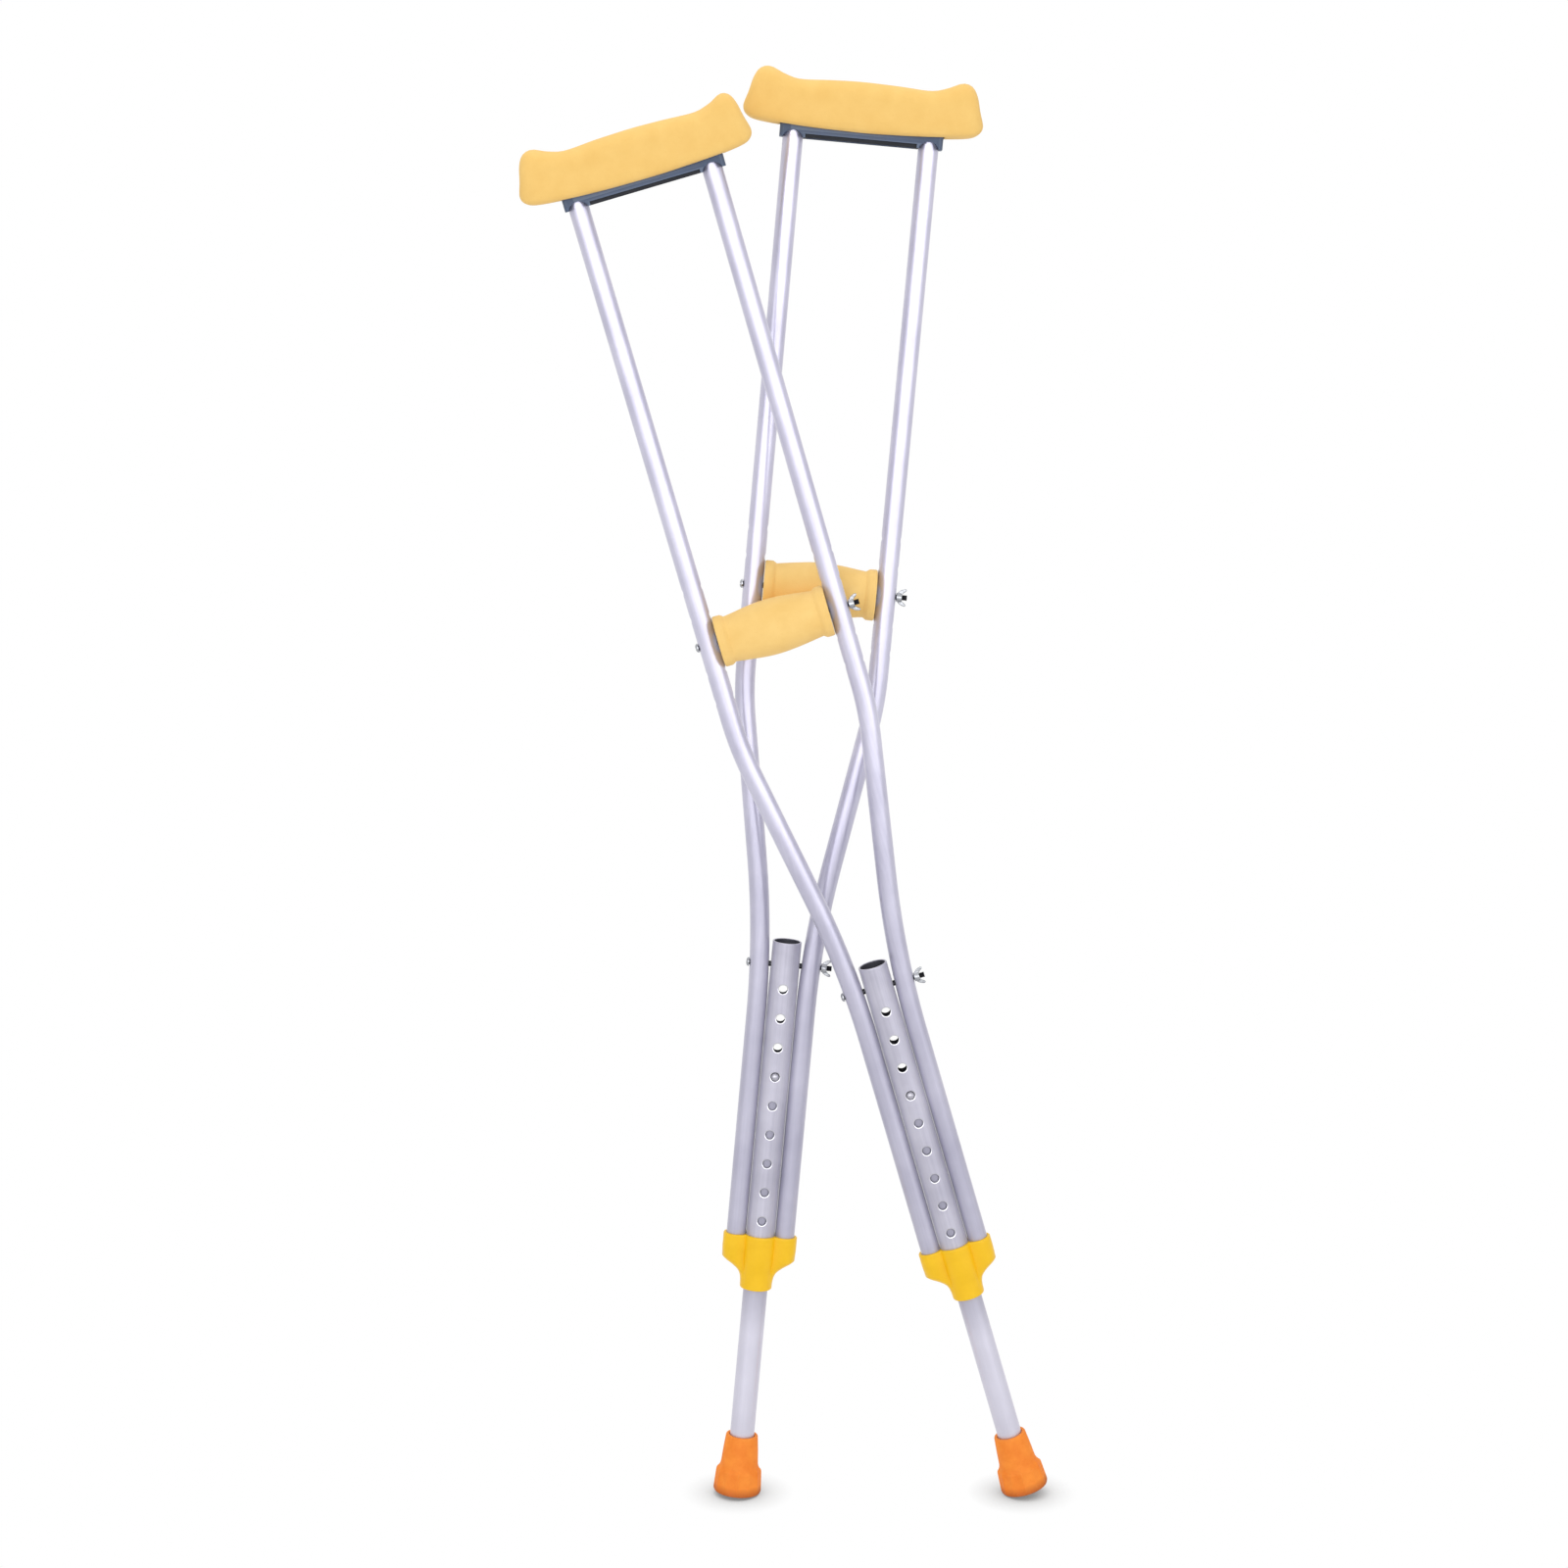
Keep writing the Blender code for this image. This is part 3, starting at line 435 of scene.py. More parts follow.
# Undyed: a milky, waxy white.
spacer_skin = moulded("natural_polypropylene", "#E4E3DC", "#D8D7CF", "#F2F1EC", 0.45, 1.0, 0.1)
print("finishes:", *[skin.name for skin in (slate_skin, painted_shade_lip_skin, yellow_skin, rubber_skin, spacer_skin)])

# %% [markdown]
# ## Plated steel
#
# The wing nuts, washers and bolt heads are bright zinc plate, a pale, slightly crystalline grey.
# The bolts' shanks are blackened, so they look like dark pins in the gaps between the tubes. The
# snap button is nickel, with a softer shine. The strip spring is tempered steel. It hardly shows,
# but a part that comes apart on the bench should still look right. Plain grey metal would look like
# a toy's, so one function gives all four a plate with crystals and with dull, rubbed patches. Real
# crystals hardly show, so they are drawn coarser, one or two millimetres across.

# %% Make the plated metals
SMEAR = 3.5


def plated_steel(name, bright, dull, roughness, crystal):
    """Plated steel: crystals in the plate, uneven sheen, and dull rubbed spots."""
    made, tree, _ = finish(name, {"Metallic": 1.0})
    spot = add(tree, "TexCoord", {}).outputs["Object"]
    spangle = add(tree, "TexVoronoi", {"Vector": spot, "Scale": per(crystal)}).outputs["Distance"]
    smear = add(tree, "TexNoise", {"Vector": spot, "Scale": per(SMEAR), "Detail": 5.0}).outputs[0]
    patch = add(tree, "Math", {"operation": "MULTIPLY_ADD", 0: spangle, 1: 0.4, 2: smear}).outputs[0]
    tone = add(tree, "MapRange", {0: patch, 1: 0.45, 2: 0.85}).outputs[0]
    colour = add(tree, "Mix", {"data_type": "RGBA", 0: tone, 6: linear(bright), 7: linear(dull)}).outputs[2]
    surface(tree, colour, smear, (0.3, 0.7), (roughness - 0.08, roughness + 0.1), patch, 0.15, 0.0001)
    return made


# Zinc: pale grey, broken up by small bright crystals.
zinc = plated_steel("bright_zinc_plate", "#B9BBC0", "#94969B", 0.34, 1.2)
# Black oxide: nearly black, with a dull gleam.
bolt_steel = plated_steel("black_oxide_steel", "#3E3E42", "#2A2A2E", 0.42, 1.5)
# Nickel: an even, pale grey with a soft shine.
button_nickel = plated_steel("bright_nickel_plate", "#B8B7C0", "#A2A1AA", 0.38, 1.5)
# Tempered steel: a plain mid grey.
spring_steel = plated_steel("tempered_spring_steel", "#8C8C90", "#6C6C72", 0.34, 2.0)
print("finishes:", *[plate.name for plate in (zinc, bolt_steel, button_nickel, spring_steel)])

# %% [markdown]
# ## From points to a piece
#
# Every piece below is drawn once, in millimetres, in the upright crutch's own frame. Turning the
# points into a mesh is the same each time: weld points that meet, make the faces look outwards,
# and shade smoothly except across real corners. The mesh then becomes one object for each
# crutch, laid on its stand, riding on the body of the part that it replaces.

# %% Helpers for pieces
WELD = 1e-6  # points that are closer than this, in metres, become one
body_of = {n: body for body, nodes in frame["record"]["behaviour"]["bodies"].items() for n in nodes}


def shaded(form, name, corner=38):
    """A mesh from a bmesh in metres: welded, facing outwards, smooth but for its corners."""
    bmesh.ops.remove_doubles(form, verts=form.verts, dist=WELD)
    bmesh.ops.recalc_face_normals(form, faces=form.faces)
    mesh = bpy.data.meshes.new(name)
    form.to_mesh(mesh)
    form.free()
    mesh.shade_smooth()
    mesh.set_sharp_from_angle(angle=math.radians(corner))
    return mesh


def dress(node, piece, skins, meshes):
    """Stand a mesh, or one for each side, in for a node, and say how far its box is from the node's."""
    made = []
    for side in SIDES:
        mesh = meshes[side] if isinstance(meshes, dict) else meshes
        if not mesh.materials:
            for skin in skins:
                mesh.materials.append(skin)
        shown = bpy.data.objects.new(f"{side}_{piece}", mesh)
        bpy.context.scene.collection.objects.link(shown)
        shown.matrix_world = stands[side]
        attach(shown, body_of[f"{side}_{node}"])
        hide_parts(f"{side}_{node}")
        low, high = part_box(f"{side}_{node}")
        axes = zip(*[stands[side] @ v.co for v in mesh.vertices])
        off = [max(abs(min(axis) - a), abs(max(axis) - b)) for axis, a, b in zip(axes, low, high)]
        print(f"{shown.name}: {len(mesh.polygons)} faces, box within {max(off) / MM:.1f} mm of the frame's")
        made.append(shown)
    return made


# %% [markdown]
# ## Drilled tubes
#
# A tube with holes could be a cylinder with Boolean cuts, but the cuts leave long faces with many
# corners, and on shiny metal those show as streaks. So the tube is a grid of quads, and each hole
# is woven into it: a square patch of the grid is left out and filled with rings that pass from
# the square to the round rim. First come the points of a tube that may bend, and of a hole's rim.

# %% Find points on a tube and round a hole
AROUND = 48


def on_tube(spine, radius, angle, height):
    """A point on a tube. The spine gives its centre line's x and its lean at a height."""
    across, lean = spine(height)
    out = radius * math.cos(angle)
    spot = (across + out * math.cos(lean), radius * math.sin(angle), height - out * math.sin(lean))
    return Vector(spot) * MM


def stitch(form, first, second, skin=0):
    """Join two loops of as many points with quads of one of the piece's skins."""
    for i in range(len(first)):
        j = (i + 1) % len(first)
        form.faces.new((first[i], first[j], second[j], second[i])).material_index = skin


def rim(form, spine, radius, hole, bearings, drill, edge=None, share=1.0):
    """A loop round a hole, on the skin of that radius, part of the way in from a square edge."""
    turn, height, _ = hole
    lean = spine(height)[1]
    loop = []
    for i, bearing in enumerate(bearings):
        across = drill * math.cos(bearing)
        angle = turn + math.asin(across / radius)
        up = height + drill * math.sin(bearing) + radius * math.cos(angle) * math.sin(lean)
        if edge:
            across = edge[i][0] + (across - edge[i][0]) * share
            up = edge[i][1] + (up - edge[i][1]) * share
            angle = turn + math.asin(across / radius)
        loop.append(form.verts.new(on_tube(spine, radius, angle, up)))
    return loop


print("tubes have", AROUND, "sides")

# %% [markdown]
# ### One skin of a tube
#
# A tube has an outer and an inner skin, each a grid of rows and columns. Where a hole falls, a
# square of the grid is left out. Each point of the square's edge has a bearing from the hole's
# middle, and runs to the point of the round rim on the same bearing. Two rings between the square
# and the rim keep the faces even.

# %% Weave holes into a skin
PATCH_COLUMNS, PATCH_REACH = 4, 1.6  # half a patch: its width in columns, and its height in hole radii
RING_SHARES = (0.45, 0.8, 1.0)
DIGITS = 4  # heights are rounded to this, so that a row can be found again


def tube_skin(form, spine, rows, radius, holes, wider, skin):
    """One skin of a tube as a grid, with rings woven in to each hole's rim."""
    step = math.tau / AROUND
    grid = {}

    def corner(row, column):
        key = (row, column % AROUND)
        if key not in grid:
            grid[key] = form.verts.new(on_tube(spine, radius, key[1] * step, rows[row]))
        return grid[key]

    left_out, rims = set(), []
    for hole in holes:
        turn, height, drill = hole
        low, high = (rows.index(round(height + way * PATCH_REACH * drill, DIGITS)) for way in (-1, 1))
        middle = round(turn / step)
        start, end = middle - PATCH_COLUMNS, middle + PATCH_COLUMNS
        square = [(low, c) for c in range(start, end)] + [(r, end) for r in range(low, high)]
        square += [(high, c) for c in range(end, start, -1)] + [(r, start) for r in range(high, low, -1)]
        left_out.update((r, c % AROUND) for r in range(low, high) for c in range(start, end))
        edge = [(radius * math.sin((c - middle) * step), rows[r]) for r, c in square]
        bearings = [math.atan2(up - height, across) for across, up in edge]
        loop = [corner(r, c) for r, c in square]
        for share in RING_SHARES:
            inner = rim(form, spine, radius, hole, bearings, drill + wider, edge, share)
            stitch(form, loop, inner, skin)
            loop = inner
        rims.append((loop, bearings))
    for r in range(len(rows) - 1):
        for c in range(AROUND):
            if (r, c) not in left_out:
                quad = (corner(r, c), corner(r, c + 1), corner(r + 1, c + 1), corner(r + 1, c))
                form.faces.new(quad).material_index = skin
    ends = [[corner(r, c) for c in range(AROUND)] for r in (0, len(rows) - 1)]
    return ends, rims


print(f"a patch spans {2 * PATCH_COLUMNS} of {AROUND} columns")

# %% [markdown]
# ### Both skins together
#
# The two skins have the same rows, so each hole's rims match point for point. They are joined
# through a small chamfer, which is the bright crescent seen at the lower edge of each hole. It has
# a knee, so that it looks rubbed and not razor sharp. The tube's ends are rounded in the same way.

# %% Join two skins into a tube
PATCH_ROWS = 8
CHAMFER, CHAMFER_KNEE = 0.45, 0.3  # the knee is a share of the chamfer
END_ROUND, END_ROW = 0.35, 1.0


def drilled_tube(name, spine, low, high, bends, radius, wall, holes, chamfer=CHAMFER):
    """A hollow tube between two heights, drilled with holes of (turn, height, drill radius)."""
    patches = {(height, PATCH_REACH * drill) for _, height, drill in holes}
    first, last = low + END_ROUND, high - END_ROUND
    rows = {first, first + END_ROW, last - END_ROW, last}
    clear = [z for z in bends if all(abs(z - height) > reach for height, reach in patches)]
    rows.update(round(z, DIGITS) for z in clear)
    for height, reach in patches:
        rows.update(round(height + reach * (2 * i / PATCH_ROWS - 1), DIGITS) for i in range(PATCH_ROWS + 1))
    rows = sorted(rows)
    form = bmesh.new()
    outer_ends, outer_rims = tube_skin(form, spine, rows, radius, holes, chamfer, 0)
    # The inner skin and the hole walls take skin 1, the bore metal, painted dark as shade.
    inner_ends, inner_rims = tube_skin(form, spine, rows, radius - wall, holes, 0.0, 1)
    for hole, (loop, bearings), (inner, _) in zip(holes, outer_rims, inner_rims):
        knee = CHAMFER_KNEE * chamfer
        for depth, wider in ((knee, knee), (chamfer, 0.0)):
            lower = rim(form, spine, radius - depth, hole, bearings, hole[2] + wider)
            stitch(form, loop, lower, 2)
            loop = lower
        stitch(form, loop, inner, 1)
    turns = [math.tau * i / AROUND for i in range(AROUND)]
    for height, loop, inner in zip((low, high), outer_ends, inner_ends):
        for reach in (radius - END_ROUND, radius - wall + END_ROUND):
            lower = [form.verts.new(on_tube(spine, reach, turn, height)) for turn in turns]
            stitch(form, loop, lower)
            loop = lower
        stitch(form, loop, inner)
    return shaded(form, name, corner=50)


print(f"tube ends are rounded by {END_ROUND} mm")

# %% [markdown]
# ## The uprights
#
# Each upright is one length of 17.5 mm tube with two bends: it runs straight down from the saddle
# past the grip, leans in towards the middle, and straightens beside the centre tube. A curve with
# a round bevel would bend as well, but it has no holes. The upright never leaves the crutch's own
# plane, so its centre line is one number for each height, from two arcs and the straights between.

# %% Draw the upright's centre line
UPRIGHT_X, SIDE_X = 58.4, 21.93  # out from the middle, above the bends and below them
LOWER_BEND_Z, LOWER_BEND_R = 517.0, 850.0
UPPER_BEND_Z, UPPER_BEND_R = 733.0, 300.0
SLANT = math.atan2(UPRIGHT_X - SIDE_X, UPPER_BEND_Z - LOWER_BEND_Z)
BEND_START = LOWER_BEND_Z - LOWER_BEND_R * math.tan(SLANT / 2)
BEND_END = UPPER_BEND_Z + UPPER_BEND_R * math.tan(SLANT / 2)


def upright_spine(height):
    """How far out the right upright's centre line is at a height, and how it leans."""
    if height <= BEND_START:
        return SIDE_X, 0.0
    if height >= BEND_END:
        return UPRIGHT_X, 0.0
    rise, drop = height - BEND_START, BEND_END - height
    if rise < LOWER_BEND_R * math.sin(SLANT):
        lean = math.asin(rise / LOWER_BEND_R)
        return SIDE_X + LOWER_BEND_R * (1 - math.cos(lean)), lean
    if drop < UPPER_BEND_R * math.sin(SLANT):
        lean = math.asin(drop / UPPER_BEND_R)
        return UPRIGHT_X - UPPER_BEND_R * (1 - math.cos(lean)), lean
    return SIDE_X + (height - LOWER_BEND_Z) * math.tan(SLANT), SLANT


print(f"uprights slant {math.degrees(SLANT):.1f} degrees, from {BEND_START:.0f} to {BEND_END:.0f} mm up")

# %% [markdown]
# ### Drilling the uprights
#
# An upright is drilled right through for the frame bolt, and for a choice of five grip heights.
# The bends get rows of their own, close enough that no facets show. The left upright is the right
# one with its centre line mirrored.

# %% Bend and drill the uprights
UPRIGHT_R, UPRIGHT_WALL = 8.75, 1.2
UPRIGHT_LOW, UPRIGHT_TOP = 226.3, 1245.7
LOWER_ROWS, UPPER_ROWS = 16, 14
FRAME_BOLT_Z, BOLT_HOLE_R = 491.4, 2.8
GRIP_Z, GRIP_HOLE_PITCH, GRIP_HOLE_STEPS = 827.3, 25.0, range(-2, 3)


def bend_rows(start, end, count):
    """Heights spread evenly over a bend."""
    return [start + (end - start) * i / count for i in range(count + 1)]


bends = bend_rows(BEND_START, BEND_START + LOWER_BEND_R * math.sin(SLANT), LOWER_ROWS)
bends += bend_rows(BEND_END - UPPER_BEND_R * math.sin(SLANT), BEND_END, UPPER_ROWS)
bolt_heights = [FRAME_BOLT_Z] + [GRIP_Z + i * GRIP_HOLE_PITCH for i in GRIP_HOLE_STEPS]
bolt_holes = [(turn, z, BOLT_HOLE_R) for z in bolt_heights for turn in (0.0, math.pi)]
for word, sign in (("left", -1), ("right", 1)):
    tube = drilled_tube(
        f"{word}_upright_tube",
        lambda z, sign=sign: tuple(sign * value for value in upright_spine(z)),
        UPRIGHT_LOW,
        UPRIGHT_TOP,
        bends,
        UPRIGHT_R,
        UPRIGHT_WALL,
        bolt_holes,
    )
    dress(f"{word}_upright", f"{word}_upright_tube", (satin_tube, painted_shade_bore_metal, cut_metal), tube)

# %% [markdown]
# ## The centre tube and the leg
#
# The wider centre tube sits between the uprights. Nine holes run down its front and back for the
# height of the leg, and one hole crosses it for the frame bolt. Its open mouth shows the inside,
# painted dark as shade. The holes at the back are drilled wider and a little lower, so that someone
# who looks down through the upper three sees the background. The leg slides in from below and backs
# the rest. It has a single hole at the front for the snap button. Both are straight, so they have no
# bends.

# %% Drill the centre tube and the leg
CENTRE_R, CENTRE_WALL, CENTRE_LOW, MOUTH_Z = 13.0, 1.5, 207.3, 513.0
LEG_R, LEG_WALL, LEG_LOW, LEG_TOP = 11.0, 1.2, 10.1, 404.3
HOLE_TOP_Z, HOLE_PITCH, HOLE_COUNT, BUTTON_HOLE = 471.4, 26.7, 9, 3
HOLE_R, BACK_HOLE_R, BACK_HOLE_DROP, HOLE_CHAMFER = 3.9, 4.8, 2.8, 0.85
BUTTON_Z, BUTTON_R = HOLE_TOP_Z - BUTTON_HOLE * HOLE_PITCH, 3.5
FRONT, BACK = math.radians(270), math.radians(90)


def straight(height):
    """A centre line that stays on the crutch's axis."""
    return 0.0, 0.0


holes = [(turn, FRAME_BOLT_Z, BOLT_HOLE_R) for turn in (0.0, math.pi)]
for i in range(HOLE_COUNT):
    height = HOLE_TOP_Z - i * HOLE_PITCH
    holes += [(FRONT, height, HOLE_R), (BACK, height - BACK_HOLE_DROP, BACK_HOLE_R)]
centre = drilled_tube(
    "centre_tube_skin", straight, CENTRE_LOW, MOUTH_Z, [], CENTRE_R, CENTRE_WALL, holes, HOLE_CHAMFER
)
dress("centre_tube", "hole_tube", (dull_tube, painted_shade_bore_metal, cut_metal), centre)
button_way = [(FRONT, BUTTON_Z, BUTTON_R + CLEARANCE)]
leg = drilled_tube("leg_skin", straight, LEG_LOW, LEG_TOP, [], LEG_R, LEG_WALL, button_way)
dress("leg_tube", "sliding_leg", (leg_tube, painted_shade_bore_metal, cut_metal), leg)

# %% [markdown]
# ## The underarm pad
#
# The pad is one soft foam moulding, about 206 mm long, with a raised bump at each end that keeps
# it under the arm. A box with rounded edges would look like wood, so it is lofted: sections stand
# side by side along it, and turn and shrink round the nose at each end. Foam that is moulded, not
# sewn, has no cloth to simulate, so the swelling is in the lines. The side view comes first. A few
# points give its upper and under lines, and a smooth curve runs through them.

# %% Draw the pad's side view
PAD_HALF, PAD_TOP, PAD_BOTTOM = 103.0, 51.3, 7.5
PAD_DIP, PAD_BUMP, PAD_NOSE, PAD_CUTS = 2.2, 6.4, 15.0, 12


def through(points, cuts):
    """A smooth closed run of points through a few given ones."""
    run = []
    for i in range(len(points)):
        before, here, after, beyond = (Vector(points[(i + k) % len(points)]) for k in (-1, 0, 1, 2))
        for t in (step / cuts for step in range(cuts)):
            bend = (2 * before - 5 * here + 4 * after - beyond) * t * t
            twist = (3 * here - before - 3 * after + beyond) * t**3
            run.append(0.5 * (2 * here + (after - before) * t + bend + twist))
    return run


def pad_outline():
    """The pad's upper and under lines, each from its middle out to its nose."""
    half = [(0.0, PAD_TOP), (0.27, PAD_TOP - 0.32 * PAD_DIP), (0.54, PAD_TOP - PAD_DIP)]
    half += [(0.68, PAD_TOP + 0.2 * PAD_BUMP), (0.80, PAD_TOP + PAD_BUMP)]
    half += [(0.885, PAD_TOP + 0.66 * PAD_BUMP), (0.935, PAD_TOP - 0.62 * PAD_BUMP)]
    half += [(0.965, PAD_BOTTOM + 1.87 * PAD_NOSE)]
    nose = len(half) * PAD_CUTS
    half += [(1.0, PAD_BOTTOM + PAD_NOSE), (0.96, PAD_BOTTOM + 0.52 * PAD_NOSE)]
    half += [(0.85, PAD_BOTTOM + 0.29 * PAD_NOSE), (0.56, PAD_BOTTOM + 0.12 * PAD_NOSE)]
    half += [(0.27, PAD_BOTTOM + 0.03 * PAD_NOSE), (0.0, PAD_BOTTOM)]
    half = [(across * PAD_HALF, up) for across, up in half]
    run = through(half + [(-across, up) for across, up in reversed(half[1:-1])], PAD_CUTS)
    under = run[nose : (len(half) - 1) * PAD_CUTS + 1]
    return run[: nose + 1], under[::-1]


upper_line, under_line = pad_outline()
print(f"pad: {2 * PAD_HALF:.0f} mm long and {PAD_TOP + PAD_BUMP - PAD_BOTTOM:.0f} mm high")

# %% [markdown]
# ### Sections of the pad
#
# Each section is a squared oval, fuller on top than underneath. It spans from a point on the upper
# line to one on the under line, and near the noses it grows shallower from front to back. The
# underside has a slot where the saddle pushes in, with a rolled lip on either side.

# %% Cut the pad's sections
PAD_DEEP, PAD_CORNER, SECTION_STEPS = 22.0, 15.0, 18
TOP_SQUARE, UNDER_SQUARE, LIP_ANGLE = 3.0, 5.0, math.pi - 0.37
SLOT_DEEP, SLOT_TOP = 12.7, 36.7
LIP_ROLL = ((0.7, 0.15), (0.0, 1.5))  # out from the slot's wall, and up from the lip
FLOOR_SHARES = (0.75, 0.5, 0.25, 0.0)


def pad_section(top, low, slotted):
    """One closed section of the pad, from the middle of its top round to the middle again."""
    past = max(0.0, PAD_CORNER - (PAD_HALF - (top.x + low.x) / 2))
    deep = PAD_DEEP - PAD_CORNER + math.sqrt(max(0.0, PAD_CORNER**2 - past**2))
    half = []
    for i in range(SECTION_STEPS + 1):
        angle = LIP_ANGLE * i / SECTION_STEPS
        power = 2 / (TOP_SQUARE if angle < math.pi / 2 else UNDER_SQUARE)
        down = 0.5 - 0.5 * math.copysign(abs(math.cos(angle)) ** power, math.cos(angle))
        spot = top.lerp(low, down)
        half.append(Vector((spot.x, deep * math.sin(angle) ** power, spot.y)))
    last = half[-1]
    if slotted:
        half += [Vector((last.x, SLOT_DEEP + out, last.z + up)) for out, up in LIP_ROLL]
        half += [Vector((last.x, SLOT_DEEP, SLOT_TOP)), Vector((last.x, 0.0, SLOT_TOP))]
    else:
        for share in FLOOR_SHARES:
            flat = (1 - (last.y * share / deep) ** UNDER_SQUARE) ** (1 / UNDER_SQUARE)
            spot = top.lerp(low, 0.5 + 0.5 * flat)
            half.append(Vector((spot.x, last.y * share, spot.y)))
    return half + [Vector((p.x, -p.y, p.z)) for p in reversed(half[1:-1])]


print("a section has", len(pad_section(upper_line[0], under_line[0], True)), "points")

# %% [markdown]
# ### From sections to a skin
#
# A skin joins each section to the next with quads, point to point. Blender can bridge loops with an
# operator, but here the points are already in order, so the faces are made directly. Two small
# helpers find a point of a line, by its distance across or by its share of the length. The last one
# dents a soft skin with slow noise, because no foam comes out of its mould quite true.

# %% Helpers for lofting


def at(line, across):
    """The point of a line at a distance across."""
    for a, b in zip(line, line[1:]):
        if a.x <= across <= b.x:
            return a.lerp(b, (across - a.x) / max(b.x - a.x, 1e-9))
    return line[-1]


def along(line, share):
    """The point at a share of a line's length."""
    lengths = [(b - a).length for a, b in zip(line, line[1:])]
    left = share * sum(lengths)
    for a, b, length in zip(line, line[1:], lengths):
        if left <= length:
            return a.lerp(b, left / length)
        left -= length
    return line[-1]


def loft(form, loops, wrap=False):
    """Skin a run of loops with quads, facing outwards, and close its ends or join them to each other."""
    rings = [[form.verts.new(Vector(p) * MM) for p in loop] for loop in loops]
    for first, second in zip(rings, rings[1:] + rings[:1] if wrap else rings[1:]):
        stitch(form, first, second)
    if not wrap:
        form.faces.new(rings[0])
        form.faces.new(rings[-1])
    bmesh.ops.remove_doubles(form, verts=form.verts, dist=WELD)
    bmesh.ops.recalc_face_normals(form, faces=form.faces)


def dented(form, size, depth, seed, keep):
    """Push each point of a soft skin in or out by slow noise, apart from those to keep."""
    form.normal_update()
    for v in form.verts:
        if not keep(v.co / MM):
            v.co += v.normal * noise.noise(v.co / (size * MM) + Vector((seed, seed, 0))) * depth * MM


print(f"a quarter of the way along, the pad's upper line is {along(upper_line, 0.25).y:.0f} mm up")

# %% [markdown]
# ### Lofting the pads
#
# Stations along half of the pad give a section each, and the other half mirrors them. Round a nose
# the stations are spaced along the curve, or it would look cut with a knife. The front pad is a
# little shorter at its right end than the rear one, so its end is drawn in beyond the slot. The
# dents are a fraction of a millimetre deep, and the slot is kept true for the saddle.

# %% Loft the pads
SADDLE_Z = 1213.3
SLOT_HALF, SLOT_STEP, SLOT_STATIONS, SLOT_MARGIN = 70.8, 0.2, 16, 1.0
PAD_END_X, NOSE_STATIONS, NOSE_SHARE = 80.0, 20, 0.985
PAD_DENT, PAD_DENT_SIZE = 0.35, 34.0
TRIM_FROM = SLOT_HALF + 2.0
PAD_FORMS = {"front": (3.0, 4.5), "rear": (11.0, 0.0)}  # the noise's seed, and how much is drawn in


def in_slot(p):
    """Whether a point is inside the pad's slot or on its lips."""
    return abs(p.y) < SLOT_DEEP + SLOT_MARGIN and p.z < SADDLE_Z + SLOT_TOP + SLOT_MARGIN


def pad_mesh(seed, drawn_in):
    """A pad's foam, its right end drawn in by some millimetres beyond the slot."""
    inside = [(SLOT_HALF - SLOT_STEP) * i / SLOT_STATIONS for i in range(SLOT_STATIONS + 1)]
    outside = [SLOT_HALF + SLOT_STEP, TRIM_FROM, SLOT_HALF + 5, PAD_END_X]
    half = [(at(upper_line, x), at(under_line, x), x < SLOT_HALF) for x in inside + outside]
    ends = [[p for p in line if p.x > PAD_END_X] for line in (upper_line, under_line)]
    for i in range(1, NOSE_STATIONS + 1):
        share = NOSE_SHARE * math.sin(math.pi / 2 * i / NOSE_STATIONS)
        half.append((along(ends[0], share), along(ends[1], share), False))
    loops = [pad_section(*station) for station in half]
    loops = [[Vector((-p.x, p.y, p.z)) for p in loop] for loop in reversed(loops[1:])] + loops
    for p in (p for loop in loops for p in loop):
        p.x -= drawn_in * max(0.0, p.x - TRIM_FROM) / (PAD_HALF - TRIM_FROM)
    form = bmesh.new()
    loft(form, [[p + Vector((0, 0, SADDLE_Z)) for p in loop] for loop in loops])
    dented(form, PAD_DENT_SIZE, PAD_DENT, seed, in_slot)
    return shaded(form, "pad_foam", corner=55)


pads = {side: pad_mesh(*PAD_FORMS[side]) for side in SIDES}
for pad in dress("underarm_pad", "pad_foam", [pad_skin], pads):
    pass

# %% [markdown]
# ## Turned pieces
#
# Many parts of a crutch are turned: a profile of radii and heights is carried round an axis. A Screw
# modifier can do that, but some of these parts are not quite round, such as a thread, or a rubber
# foot with flutes. So the loops are worked out here, and a function may change each radius.

# %% Turn a profile


def turned(profile, around=AROUND, shape=None):
    """Loops of a profile of (radius, height) carried round Z. Shape may change a radius."""
    loops = []
    for radius, height in profile:
        turns = [math.tau * i / around for i in range(around)]
        reach = [shape(radius, height, turn) if shape else radius for turn in turns]
        loops.append([(r * math.cos(turn), r * math.sin(turn), height) for r, turn in zip(reach, turns)])
    return loops


print("a turned ring has", len(turned([(1.0, 0.0)])[0]), "points")

# %% [markdown]
# ## The handgrip
#
# The grip is a foam barrel moulded on a spacer tube, with a flange at each end against the
# upright. A scaled cylinder would have no neck, so a turned profile makes it: a smooth line from
# the flange through the neck to the belly, carried round the bolt's axis. A shallow groove inside
# each flange is the mould's joint, and the same slow noise as on the pad takes the machined look off.

